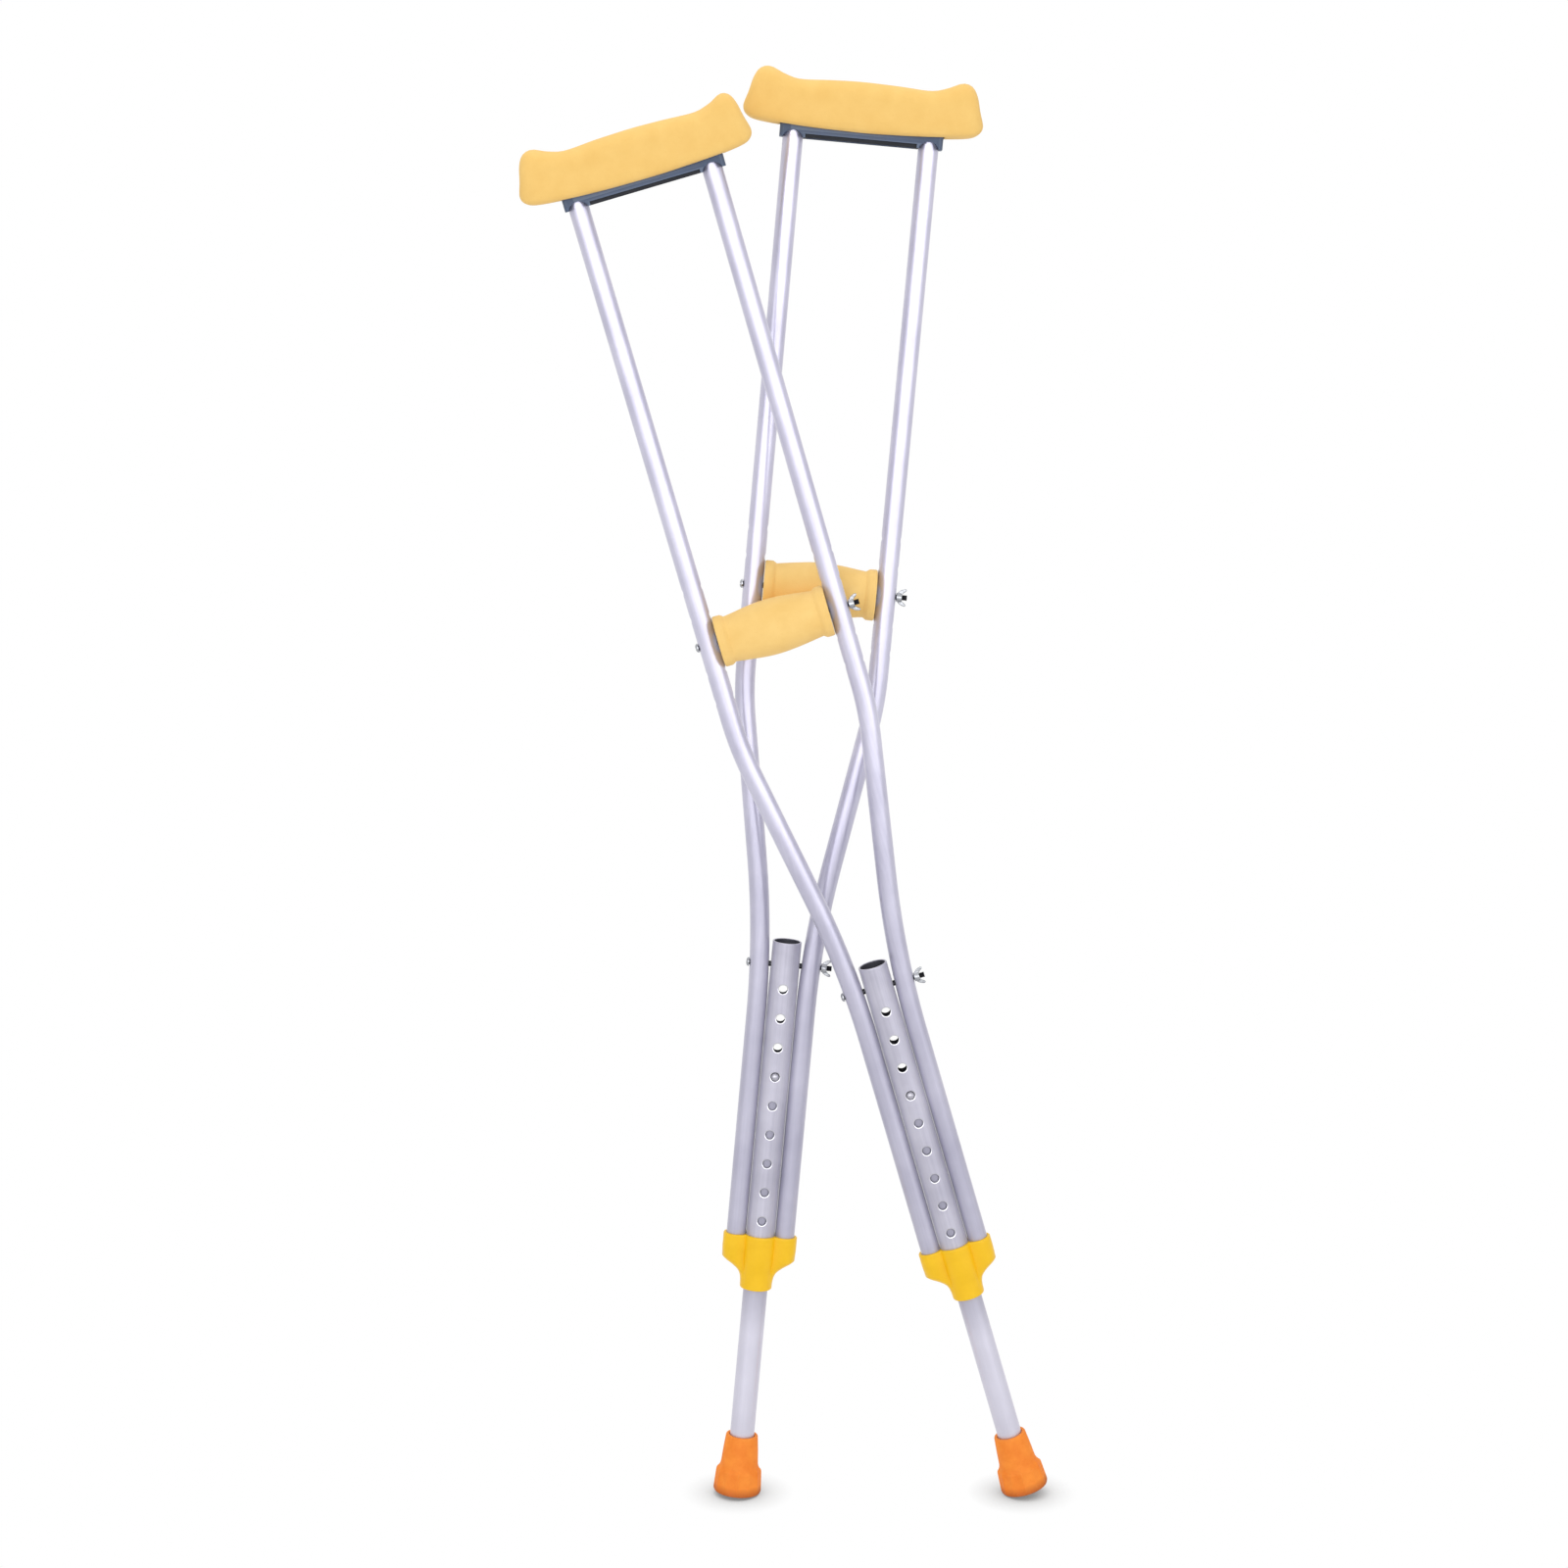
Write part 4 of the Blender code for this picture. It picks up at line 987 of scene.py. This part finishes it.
# %% Turn the grips
GRIP_END = UPRIGHT_X - UPRIGHT_R - CLEARANCE
BELLY_R, NECK_R, FLANGE_R, CORE_R = 24.2, 20.2, 22.4, 10.0
FLANGE_WIDTH, GRIP_EDGE, EDGE_STEPS = 7.5, 1.6, 5
FLANGE_ROUND = ((0.1, 0.8), (0.5, 0.0))  # how the flange's inner edge falls away: down, and out
GROOVE_DOWN, GROOVE_IN, NECK_RUN, NECK_STEPS = 0.9, 0.4, 2.2, 6
BELLY_STEPS, BELLY_POWER = 20, 1.15
GRIP_AROUND, GRIP_DENT, GRIP_DENT_SIZE = 64, 0.35, 22.0
END_MARGIN, CORE_MARGIN = 0.5, 1.0
GRIP_SEEDS = {"front": 5.0, "rear": 17.0}
TO_X = Matrix.Rotation(math.pi / 2, 4, "Y")
TO_GRIP = Matrix.Translation((0, 0, GRIP_Z * MM)) @ TO_X


def grip_profile():
    """The grip's section from one end round its skin to the other, and back through its bore."""
    flange = GRIP_END - FLANGE_WIDTH
    half = []
    for angle in (math.pi / 2 * i / EDGE_STEPS for i in range(EDGE_STEPS + 1)):
        radius = FLANGE_R - GRIP_EDGE * (1 - math.sin(angle))
        half.append((radius, GRIP_END - GRIP_EDGE * (1 - math.cos(angle))))
    half += [(FLANGE_R, (GRIP_END + flange) / 2)]
    half += [(FLANGE_R - down, flange + out) for down, out in FLANGE_ROUND]
    groove_r, groove = FLANGE_R - GROOVE_DOWN, flange - GROOVE_IN
    for t in (i / NECK_STEPS for i in range(NECK_STEPS + 1)):
        half.append((groove_r + (NECK_R - groove_r) * t * t * (3 - 2 * t), groove - NECK_RUN * t))
    for t in (i / BELLY_STEPS for i in range(1, BELLY_STEPS + 1)):
        swell = math.sin(math.pi / 2 * t) ** BELLY_POWER
        half.append((NECK_R + (BELLY_R - NECK_R) * swell, (groove - NECK_RUN) * (1 - t)))
    bore = CORE_R + CLEARANCE
    return half + [(r, -h) for r, h in reversed(half[:-1])] + [(bore, -GRIP_END), (bore, GRIP_END)]


def at_end_or_core(p):
    """Whether a point of the grip lies on one of its ends or in its bore."""
    return abs(p.z) > GRIP_END - END_MARGIN or p.xy.length < CORE_R + CORE_MARGIN


def grip_mesh(seed):
    """A grip's foam, dented by noise, on the grip bolt's axis."""
    form = bmesh.new()
    loft(form, turned(grip_profile(), GRIP_AROUND), wrap=True)
    dented(form, GRIP_DENT_SIZE, GRIP_DENT, seed, at_end_or_core)
    bmesh.ops.transform(form, matrix=TO_GRIP, verts=form.verts)
    return shaded(form, "grip_foam", corner=60)


grips = {side: grip_mesh(GRIP_SEEDS[side]) for side in SIDES}
for grip in dress("handgrip", "grip_foam", [grip_skin], grips):
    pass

# %% [markdown]
# ## Blocks and pins
#
# Some pieces are easiest to think of as a solid less some cutters: a block with a channel, a lump
# with bores. A cutter is a box or a round pin between two points. Each is a bmesh primitive and not
# an operator's object, because a bmesh needs no selection and leaves nothing behind in the scene.

# %% Helpers for cutters
OVERSHOOT = 5.0  # millimetres that a cutter runs past the face that it cuts
CORNER_STEPS = 6


def block(low, high, corner=0.0):
    """A box between two corners as a bmesh, with its upright edges rounded."""
    low, high = Vector(low) * MM, Vector(high) * MM
    form = bmesh.new()
    bmesh.ops.create_cube(form, size=1.0)
    bmesh.ops.scale(form, vec=high - low, verts=form.verts)
    bmesh.ops.translate(form, vec=(low + high) / 2, verts=form.verts)
    if corner:
        edges = [e for e in form.edges if abs(e.verts[0].co.z - e.verts[1].co.z) > WELD]
        bmesh.ops.bevel(
            form, geom=edges, offset=corner * MM, segments=CORNER_STEPS, profile=0.5, affect="EDGES"
        )
    return form


def pin(start, end, radius, around=AROUND):
    """A round pin between two points as a bmesh."""
    start, end = Vector(start) * MM, Vector(end) * MM
    turn = Vector((0, 0, 1)).rotation_difference(end - start).to_matrix().to_4x4()
    form = bmesh.new()
    bmesh.ops.create_cone(
        form,
        cap_ends=True,
        segments=around,
        radius1=radius * MM,
        radius2=radius * MM,
        depth=(end - start).length,
        matrix=Matrix.Translation((start + end) / 2) @ turn,
    )
    return form


print(f"cutters run {OVERSHOOT:.0f} mm past what they cut")

# %% [markdown]
# ## Carving with Booleans
#
# Straight cuts in a straight block are what Booleans do well. The solid and its cutters lie on the
# bench as scratch objects, modifiers do the cutting, and the result is lifted off as a new mesh. A
# fine bevel can then take the knife edge off every corner.

# %% Helpers for carving
SOFTEN_FROM = math.radians(40)


def on_bench(form, name):
    """A scratch object from a bmesh, for modifiers to work on."""
    mesh = bpy.data.meshes.new(name)
    form.to_mesh(mesh)
    form.free()
    scratch = bpy.data.objects.new(name, mesh)
    bpy.context.scene.collection.objects.link(scratch)
    return scratch


def off_bench(scratch):
    """What the modifiers made of the first scratch object, as a bmesh. The bench is then cleared."""
    form = bmesh.new()
    form.from_object(scratch[0], bpy.context.evaluated_depsgraph_get())
    for left in scratch:
        bpy.data.meshes.remove(left.data)
    return form


def carved(name, solid, cuts, soften=0.0, corner=38):
    """Cut or add shapes with Booleans, one after the other, and bevel what is left."""
    scratch = [on_bench(form, name) for form in (solid, *[cutter for cutter, _ in cuts])]
    for cutter, (_, operation) in zip(scratch[1:], cuts):
        change = scratch[0].modifiers.new(operation, "BOOLEAN")
        change.operation = operation
        change.object = cutter
    if soften:
        edge = scratch[0].modifiers.new("soften", "BEVEL")
        edge.width = soften * MM
        edge.segments = 1
        edge.limit_method = "ANGLE"
        edge.angle_limit = SOFTEN_FROM
    return shaded(off_bench(scratch), name, corner)


print(f"corners sharper than {math.degrees(SOFTEN_FROM):.0f} degrees can be softened")

# %% [markdown]
# ## The saddle
#
# The saddle is a slate-blue channel, open downwards, with a round socket at each end for an
# upright. Under the pad only its skirt shows: two walls with an arch cut over each tube and a
# small ear beyond it. It is carved from a rounded block less the channel, the sockets and the
# arches, and three thin ribs are joined on across the channel. Along the lower edge of each wall
# a lip is cut back a little, so that it lies in shade, and its faces are painted black as shade.

# %% Carve the saddle
SADDLE_HALF, SADDLE_DEEP, SADDLE_HIGH, SADDLE_WALL = 70.15, 12.05, 36.0, 3.0
SADDLE_CORNER, SADDLE_SOFTEN = 4.0, 0.4
SOCKET_R, ARCH_RISE, ARCH_REACH = UPRIGHT_R + CLEARANCE, 6.0, 20.0
RIB_THICK, RIB_UP, RIB_ROOT, RIBS_AT = 2.2, 5.0, 1.0, (-24.0, 0.0, 24.0)
LIP_HIGH, LIP_DEEP, LIP_MARGIN, LIP_TOLERANCE = 3.3, 1.4, 1.5, 0.05

below, roof = SADDLE_Z - OVERSHOOT, SADDLE_Z + SADDLE_HIGH - SADDLE_WALL
walls, channel = SADDLE_DEEP - SADDLE_WALL, UPRIGHT_X - SOCKET_R - SADDLE_WALL
top = SADDLE_Z + SADDLE_HIGH
body = block((-SADDLE_HALF, -SADDLE_DEEP, SADDLE_Z), (SADDLE_HALF, SADDLE_DEEP, top), SADDLE_CORNER)
cuts = [(block((-channel, -walls, below), (channel, walls, roof)), "DIFFERENCE")]
for x in RIBS_AT:
    low = (x - RIB_THICK / 2, -walls - RIB_ROOT, SADDLE_Z + RIB_UP)
    high = (x + RIB_THICK / 2, walls + RIB_ROOT, roof + RIB_ROOT)
    cuts.append((block(low, high), "UNION"))
for x in (-UPRIGHT_X, UPRIGHT_X):
    arch_z = SADDLE_Z + ARCH_RISE - SOCKET_R
    cuts.append((pin((x, 0, below), (x, 0, roof), SOCKET_R), "DIFFERENCE"))
    cuts.append((pin((x, -ARCH_REACH, arch_z), (x, ARCH_REACH, arch_z), SOCKET_R), "DIFFERENCE"))
lip, lip_top = UPRIGHT_X - SOCKET_R - LIP_MARGIN, SADDLE_Z + LIP_HIGH
for y in (-SADDLE_DEEP, SADDLE_DEEP):
    cuts.append((block((-lip, y - LIP_DEEP, below), (lip, y + LIP_DEEP, lip_top)), "DIFFERENCE"))
saddle = carved("saddle", body, cuts, soften=SADDLE_SOFTEN)
# The lip's faces take the black skin: painted shade under each wall.
for face in saddle.polygons:
    low_enough = face.center.z < (lip_top + LIP_TOLERANCE) * MM
    face.material_index = int(low_enough and abs(face.center.x) < (lip + LIP_TOLERANCE) * MM)
dress("underarm_bracket", "saddle", [slate_skin, painted_shade_lip_skin], saddle)

# %% [markdown]
# ## The base
#
# The yellow base gathers the three tubes and narrows to a collar round the leg. Its outline is
# three circles in a row, blended where they meet, and it shrinks to one circle lower down. That
# is a loft between unlike loops: the same angles all the way, with the reach at each angle easing
# from the collar to the outline. The pockets for the tubes are then bored from above.

# %% Loft and bore the base
COLLAR_Z, BASE_HEIGHT, COLLAR_R, BASE_WALL = 192.5, 50.0, 14.4, 2.3
LEDGE_Z, POCKET_Z, BASE_EDGE, LEG_PLAY = 207.0, 226.0, 1.1, 0.5
BASE_AROUND, BLEND = 120, 10  # the higher the power, the tighter the circles' blend
FLARE = [(0.0, 0.0), (0.12, 0.01), (0.22, 0.05), (0.30, 0.14)]  # shares of the height, and how open
FLARE += [(0.37, 0.32), (0.44, 0.57), (0.50, 0.82), (0.565, 1.0)]
EASE_FROM, EASE = 0.03, (-0.02, -0.01, 0.0, 0.01, 0.02)
LEVELS = [0.0, 0.006, 0.014, 0.025]
LEVELS += [0.04 + 0.02 * i for i in range(27)]
LEVELS += [0.75, 0.95, 0.975, 0.986, 0.994, 1.0]


def base_reach(angle):
    """Reach of the base's outline at an angle: three tubes side by side in a wall."""
    middle = CENTRE_R + CLEARANCE + BASE_WALL
    lobe = UPRIGHT_R + CLEARANCE + BASE_WALL
    off = SIDE_X * math.sin(angle)
    if abs(off) >= lobe:
        return middle
    far = SIDE_X * abs(math.cos(angle)) + math.sqrt(lobe**2 - off**2)
    return (middle**BLEND + far**BLEND) ** (1 / BLEND)


def opened(share):
    """How far the outline has opened out at a share of the base's height."""
    for (a, low), (b, high) in zip(FLARE, FLARE[1:]):
        if share <= b:
            return low + (high - low) * (share - a) / (b - a)
    return 1.0


def base_loop(share):
    """The base's outline at a share of its height, with the opening eased and the edges tucked in."""
    near = min(share, 1 - share) * BASE_HEIGHT
    tuck = BASE_EDGE - math.sqrt(max(0.0, BASE_EDGE**2 - max(0.0, BASE_EDGE - near) ** 2))
    spread = opened(share)
    if share > EASE_FROM:
        spread = sum(opened(share + step) for step in EASE) / len(EASE)
    loop = []
    for angle in (math.tau * i / BASE_AROUND for i in range(BASE_AROUND)):
        reach = COLLAR_R + (base_reach(angle) - COLLAR_R) * spread - tuck
        loop.append((reach * math.cos(angle), reach * math.sin(angle), COLLAR_Z + share * BASE_HEIGHT))
    return loop


form = bmesh.new()
loft(form, [base_loop(share) for share in LEVELS])
over = COLLAR_Z + BASE_HEIGHT + OVERSHOOT
bores = [(0.0, COLLAR_Z - OVERSHOOT, LEG_R + LEG_PLAY), (0.0, LEDGE_Z, CENTRE_R + CLEARANCE)]
bores += [(x, POCKET_Z, UPRIGHT_R + CLEARANCE) for x in (-SIDE_X, SIDE_X)]
cuts = [(pin((x, 0, low), (x, 0, over), radius), "DIFFERENCE") for x, low, radius in bores]
dress("base_bracket", "tube_base", [yellow_skin], carved("tube_base", form, cuts, corner=45))

# %% [markdown]
# ## The ferrule
#
# The orange rubber tip is a thick tapered sleeve on a wider foot. It is turned, like the grip, but
# its foot is not quite round: shallow flutes run down it from a scalloped shoulder, so the profile
# helper is given a function that pulls the radius in a little at even turns. Rings are cut in the
# sole for grip on the floor.

# %% Turn the ferrules
FERRULE_HIGH, TIP_TOP_R, TIP_FOOT_R, TIP_FLOOR = 53.3, 14.6, 21.7, 8.0
TIP_AROUND, FLUTES, FLUTE_DEPTH, FLUTE_POWER = 112, 12, 1.3, 0.7
FLUTE_TOP, FLUTE_FADE, SOLE_FADE = 0.47 * FERRULE_HIGH, 4.0, 2.5
TREAD_RINGS, TREAD_DEPTH = (5.5, 10.0, 14.5), 1.0
SHOULDER = [(0.50, 16.9), (0.455, 17.6), (0.43, 18.5), (0.41, 19.6)]  # shares of the height, and radii
SHOULDER += [(0.39, 20.3), (0.36, 20.6), (0.31, 20.8)]


def turned_mesh(name, profile, place, around=AROUND, shape=None, wrap=False, corner=38):
    """A turned piece, moved to its place."""
    form = bmesh.new()
    loft(form, turned(profile, around, shape), wrap)
    bmesh.ops.transform(form, matrix=place, verts=form.verts)
    return shaded(form, name, corner)


def fluted(radius, height, turn):
    """Pull the foot's radius in between its flutes, fading out at the shoulder and the sole."""
    if radius < TIP_TOP_R + 1 or height > FLUTE_TOP:
        return radius
    fade = min(1.0, (FLUTE_TOP - height) / FLUTE_FADE, max(height, 0.0) / SOLE_FADE)
    return radius - FLUTE_DEPTH * fade * abs(math.sin(FLUTES * turn / 2)) ** FLUTE_POWER


bore = LEG_R + CLEARANCE
tip = [(0.0, TIP_FLOOR), (bore, TIP_FLOOR), (bore, FERRULE_HIGH - 1.0), (bore + 0.6, FERRULE_HIGH)]
tip += [(TIP_TOP_R - 1.2, FERRULE_HIGH), (TIP_TOP_R - 0.35, FERRULE_HIGH - 0.35)]
tip += [(TIP_TOP_R, FERRULE_HIGH - 1.2), (TIP_TOP_R + 1.25, 0.75 * FERRULE_HIGH)]
tip += [(radius, share * FERRULE_HIGH) for share, radius in SHOULDER]
tip += [(TIP_FOOT_R - 0.4, 0.16 * FERRULE_HIGH), (TIP_FOOT_R, 2.0)]
tip += [(TIP_FOOT_R - 0.15, 0.7), (TIP_FOOT_R - 0.8, 0.0)]
for ring in reversed(TREAD_RINGS):
    tip += [(ring + 1.6, 0.0), (ring + 1.2, TREAD_DEPTH), (ring - 0.4, TREAD_DEPTH), (ring - 0.8, 0.0)]
tip += [(0.0, 0.0)]
ferrule = turned_mesh("rubber_tip", tip, Matrix(), TIP_AROUND, fluted, corner=42)
dress("ferrule", "rubber_tip", [rubber_skin], ferrule)

# %% [markdown]
# ## The bolts
#
# Two bolts cross each crutch, one through the frame and one through the grip. Each has a slotted
# dome head on the left and a thread on the right. A thread could be a bump, but its outline shows
# against white. It is a turned shape whose radius rises and falls along a helix, so the same
# profile helper cuts it. The driver's slot is carved, and the head keeps its bright plate.

# %% Make the bolts
BOLT_R, HEAD_R, HEAD_THICK, HEAD_SIDE, BOLT_STAND = 2.5, 3.9, 2.7, 0.3, 9.4
THREAD_PITCH, THREAD_DEPTH, THREAD_LONG, RINGS_PER_TURN = 0.8, 0.42, 15.0, 6
DRIVER_WIDE, DRIVER_DEEP, BOLT_POINT, BOLT_AROUND = 1.0, 1.1, 0.5, 28
HEAD_ANGLES = (0.25, 0.5, 0.75, 1.0, 1.25, 1.5)
PLATE_REACH = 0.1  # the bright plate ends this far past the head
BOLTS = {  # how high each is, and how far out the upright's skin lies there
    "frame": (FRAME_BOLT_Z, upright_spine(FRAME_BOLT_Z)[0] + UPRIGHT_R),
    "grip": (GRIP_Z, UPRIGHT_X + UPRIGHT_R),
}


def bolt_mesh(name, height, out):
    """A slotted dome-head bolt along X, threaded at its right end."""
    start = out + CLEARANCE
    length = 2 * start + BOLT_STAND
    shank = length - THREAD_LONG

    def thread(radius, way, turn):
        if way < shank or way > length - BOLT_POINT:
            return radius
        fade = min(1.0, (way - shank) / THREAD_PITCH)
        phase = (way / THREAD_PITCH - turn / math.tau) % 1.0
        return radius - THREAD_DEPTH * fade * abs(2 * phase - 1)

    rings = int(THREAD_LONG / THREAD_PITCH) * RINGS_PER_TURN
    profile = [(0.0, -HEAD_THICK)]
    for angle in HEAD_ANGLES:
        rise = HEAD_SIDE + (1 - HEAD_SIDE) * math.cos(angle)
        profile.append((HEAD_R * math.sin(angle), -HEAD_THICK * rise))
    profile += [(HEAD_R, -0.2), (HEAD_R - 0.2, 0.0), (BOLT_R, 0.0), (BOLT_R, shank)]
    profile += [(BOLT_R, shank + THREAD_LONG * i / rings) for i in range(1, rings)]
    profile += [(BOLT_R - BOLT_POINT, length), (0.0, length)]
    form = bmesh.new()
    loft(form, turned(profile, BOLT_AROUND, thread))
    low = (-DRIVER_WIDE / 2, -HEAD_R - OVERSHOOT, -HEAD_THICK - OVERSHOOT)
    slot = block(low, (DRIVER_WIDE / 2, HEAD_R + OVERSHOOT, DRIVER_DEEP - HEAD_THICK))
    to_place = Matrix.Translation(Vector((-start, 0, height)) * MM) @ TO_X
    for shape in (form, slot):
        bmesh.ops.transform(shape, matrix=to_place, verts=shape.verts)
    made = carved(name, form, [(slot, "DIFFERENCE")], corner=40)
    for face in made.polygons:
        face.material_index = int(face.center.x < (PLATE_REACH - start) * MM)
    return made


for word, (height, out) in BOLTS.items():
    screw = bolt_mesh(f"{word}_screw", height, out)
    dress(f"{word}_bolt", f"{word}_screw", [bolt_steel, zinc], screw)

# %% [markdown]
# ## The wing nuts
#
# A wing nut is a small zinc casting whose wings flow into its hub. Modelling those fillets face by
# face is slow work, so hub and wings are drawn as simple overlapping solids. A fine voxel remesh
# merges them, and a light smoothing rounds every join, as molten metal does. Then it is bored.

# %% Cast the wing nuts
NUT_HUB_R, NUT_HUB_HIGH, NUT_TIP, NUT_HIGH = 4.0, 5.0, 7.7, 9.0
NUT_AROUND, NUT_PLAY, CAST_GRAIN, CAST_PASSES = 40, 0.15, 0.28, 4
WING_THICK, WING_CUTS, WING_MIDDLE = 1.7, 4, (0.7, 0.55)
WING = [(0.30, 0.09), (0.62, 0.2), (0.86, 0.47), (0.99, 0.78), (0.985, 0.94)]  # shares of tip and height
WING += [(0.87, 0.995), (0.72, 0.93), (0.55, 0.72), (0.34, 0.52)]
WING_ROUND = ((-1.0, 0.25), (-0.7, 0.06), (0.0, 0.0), (0.7, 0.06), (1.0, 0.25))  # across, and drawn in


def wing_nut_mesh(name, height, out):
    """A cast wing nut on a bolt along X, its wings in the crutch's own plane."""
    hub = [(0.0, NUT_HUB_HIGH), (0.8 * NUT_HUB_R, NUT_HUB_HIGH), (0.9 * NUT_HUB_R, NUT_HUB_HIGH - 0.6)]
    hub += [(NUT_HUB_R, 0.5), (NUT_HUB_R - 0.3, 0.05), (0.0, 0.05)]
    form = bmesh.new()
    loft(form, turned(hub, NUT_AROUND))
    for sign in (-1, 1):
        points = [Vector((sign * across * NUT_TIP, up * NUT_HIGH)) for across, up in (*WING, WING_MIDDLE)]
        outline, middle = through(points[:-1], WING_CUTS), points[-1]
        loops = []
        for across, inset in WING_ROUND:
            drawn_in = [p.lerp(middle, inset) for p in outline]
            loops.append([(p.x, across * WING_THICK / 2, p.y) for p in drawn_in])
        loft(form, loops)
    casting = on_bench(form, name)
    merge = casting.modifiers.new("merge", "REMESH")
    merge.mode = "VOXEL"
    merge.voxel_size = CAST_GRAIN * MM
    fillet = casting.modifiers.new("fillet", "SMOOTH")
    fillet.factor = 0.5
    fillet.iterations = CAST_PASSES
    cast = off_bench([casting])
    place = Matrix.Translation(Vector((out + CLEARANCE, 0, height)) * MM) @ TO_X
    bmesh.ops.transform(cast, matrix=place, verts=cast.verts)
    ends = [(x, 0, height) for x in (out - OVERSHOOT, out + NUT_HIGH + OVERSHOOT)]
    bore = pin(*ends, BOLT_R + NUT_PLAY, BOLT_AROUND)
    return carved(name, cast, [(bore, "DIFFERENCE")], corner=60)


for word, (height, out) in BOLTS.items():
    nut = wing_nut_mesh(f"{word}_nut", height, out)
    dress(f"{word}_wing_nut", f"{word}_wing_nut_casting", [zinc], nut)

# %% [markdown]
# ## The snap button
#
# The button that holds the leg is a plain dome of nickel-plated steel, about as wide as the hole
# that it fills, on a wider rim that keeps it from popping out. It is turned like the ferrule and
# laid on its side, so that it looks out through the fourth hole.

# %% Turn the snap button
BUTTON_STAND, BUTTON_DOME, BUTTON_EDGE = 2.2, 2.6, 0.1
BUTTON_TIP = CENTRE_R + BUTTON_STAND
BUTTON_SEAT, BUTTON_HEEL, BUTTON_RIM, BUTTON_AROUND = 7.91, 6.71, 4.8, 36
DOME_ANGLES = (0.3, 0.6, 0.9, 1.2, 1.4)

dome = [(0.0, BUTTON_TIP)]
dome += [(BUTTON_R * math.sin(a), BUTTON_TIP - BUTTON_DOME * (1 - math.cos(a))) for a in DOME_ANGLES]
dome += [(BUTTON_R, BUTTON_TIP - BUTTON_DOME - BUTTON_EDGE), (BUTTON_R, BUTTON_SEAT)]
dome += [(BUTTON_RIM, BUTTON_SEAT), (BUTTON_RIM, BUTTON_HEEL), (0.0, BUTTON_HEEL)]
to_front = Matrix.Translation((0, 0, BUTTON_Z * MM)) @ Matrix.Rotation(math.pi / 2, 4, "X")
button = turned_mesh("domed_button", dome, to_front, BUTTON_AROUND)
dress("snap_button", "domed_button", [button_nickel], button)

# %% [markdown]
# ## The strip spring
#
# Behind each button a strip of spring steel is folded into a U inside the leg, and pushes the
# button out through the hole. When a thumb presses the button in, the strip bends. Bending it
# properly would need bones. Here the strip is drawn at rest, and each crutch gets a copy of its mesh.

# %% Fold the springs
SPRING_THICK, SPRING_WIDTH, SPRING_UP, SPRING_DOWN = 0.8, 5.0, 5.0, 30.0
STRIP_EDGE, SPRING_PLAY, LEG_STEPS, FOLD_STEPS = 0.25, 0.7, 6, 24
SPRING_FRONT, SPRING_BACK = BUTTON_HEEL - CLEARANCE, LEG_R - LEG_WALL - SPRING_PLAY


def strip_spring():
    """A strip folded into a U: one leg behind the button, and the other on the tube's back."""
    middle = (SPRING_BACK - SPRING_FRONT) / 2
    bend = (SPRING_BACK + SPRING_FRONT - SPRING_THICK) / 2
    rise = [i * (SPRING_UP + SPRING_DOWN) / LEG_STEPS for i in range(LEG_STEPS + 1)]
    stations = [(math.pi, SPRING_UP - up) for up in rise]
    stations += [(math.pi * (1 + i / FOLD_STEPS), -SPRING_DOWN) for i in range(1, FOLD_STEPS)]
    stations += [(math.tau, up - SPRING_DOWN) for up in rise]
    wide, thick = SPRING_WIDTH / 2, SPRING_THICK / 2
    quarter = [(wide - STRIP_EDGE, thick), (wide, thick - STRIP_EDGE)]
    half = quarter + [(across, -out) for across, out in reversed(quarter)]
    section = half + [(-across, -out) for across, out in half]
    loops = []
    for turn, base in stations:
        across = [middle + (bend + out) * math.cos(turn) for _, out in section]
        up = [BUTTON_Z + base + (bend + out) * math.sin(turn) for _, out in section]
        loops.append([(x, y, z) for (x, _), y, z in zip(section, across, up)])
    form = bmesh.new()
    loft(form, loops)
    return shaded(form, "strip_spring")


for side, spring in zip(SIDES, dress("snap_spring", "strip_spring", [spring_steel], strip_spring())):
    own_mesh(spring)

# %% [markdown]
# ## Spacers and washers
#
# The spacer inside the grip keeps the bolt from crushing the foam, and the washer under the leg
# keeps the tube's end from cutting through the rubber. Both are turned rings that hardly show. A
# plain pipe would do, but sharp corners never look real, so theirs are taken off.

# %% Turn the spacers and washers
WASHER_THICK, WASHER_HOLE_R, RING_EDGE = 1.5, 4.0, 0.3


def ring_mesh(name, outer, inner, low, high, place):
    """A turned ring with its corners taken off, moved to its place."""
    edge = RING_EDGE
    profile = [(outer - edge, high), (outer, high - edge), (outer, low + edge), (outer - edge, low)]
    profile += [(inner + edge, low), (inner, low + edge), (inner, high - edge), (inner + edge, high)]
    return turned_mesh(name, profile, place, wrap=True)


spacer = ring_mesh("grip_spacer", CORE_R, BOLT_R + CLEARANCE, -GRIP_END, GRIP_END, TO_GRIP)
dress("grip_core", "grip_spacer", [spacer_skin], spacer)
seat = TIP_FLOOR + CLEARANCE
washer = ring_mesh("foot_washer", LEG_R - CLEARANCE, WASHER_HOLE_R, seat, seat + WASHER_THICK, Matrix())
dress("ferrule_washer", "foot_washer", [zinc], washer)

# %% [markdown]
# ## Measure and finish
#
# The dressed pair has to stay the size of the frame, so the sizes of both boxes are printed one
# under the other.

# %% Print the sizes and finish
dressed_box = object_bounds()
boxes = {"frame": [list(corner) for corner in frame_box], "dressed": [list(corner) for corner in dressed_box]}
for word, (low, high) in boxes.items():
    print(word, [round(b - a, 3) for a, b in zip(low, high)])
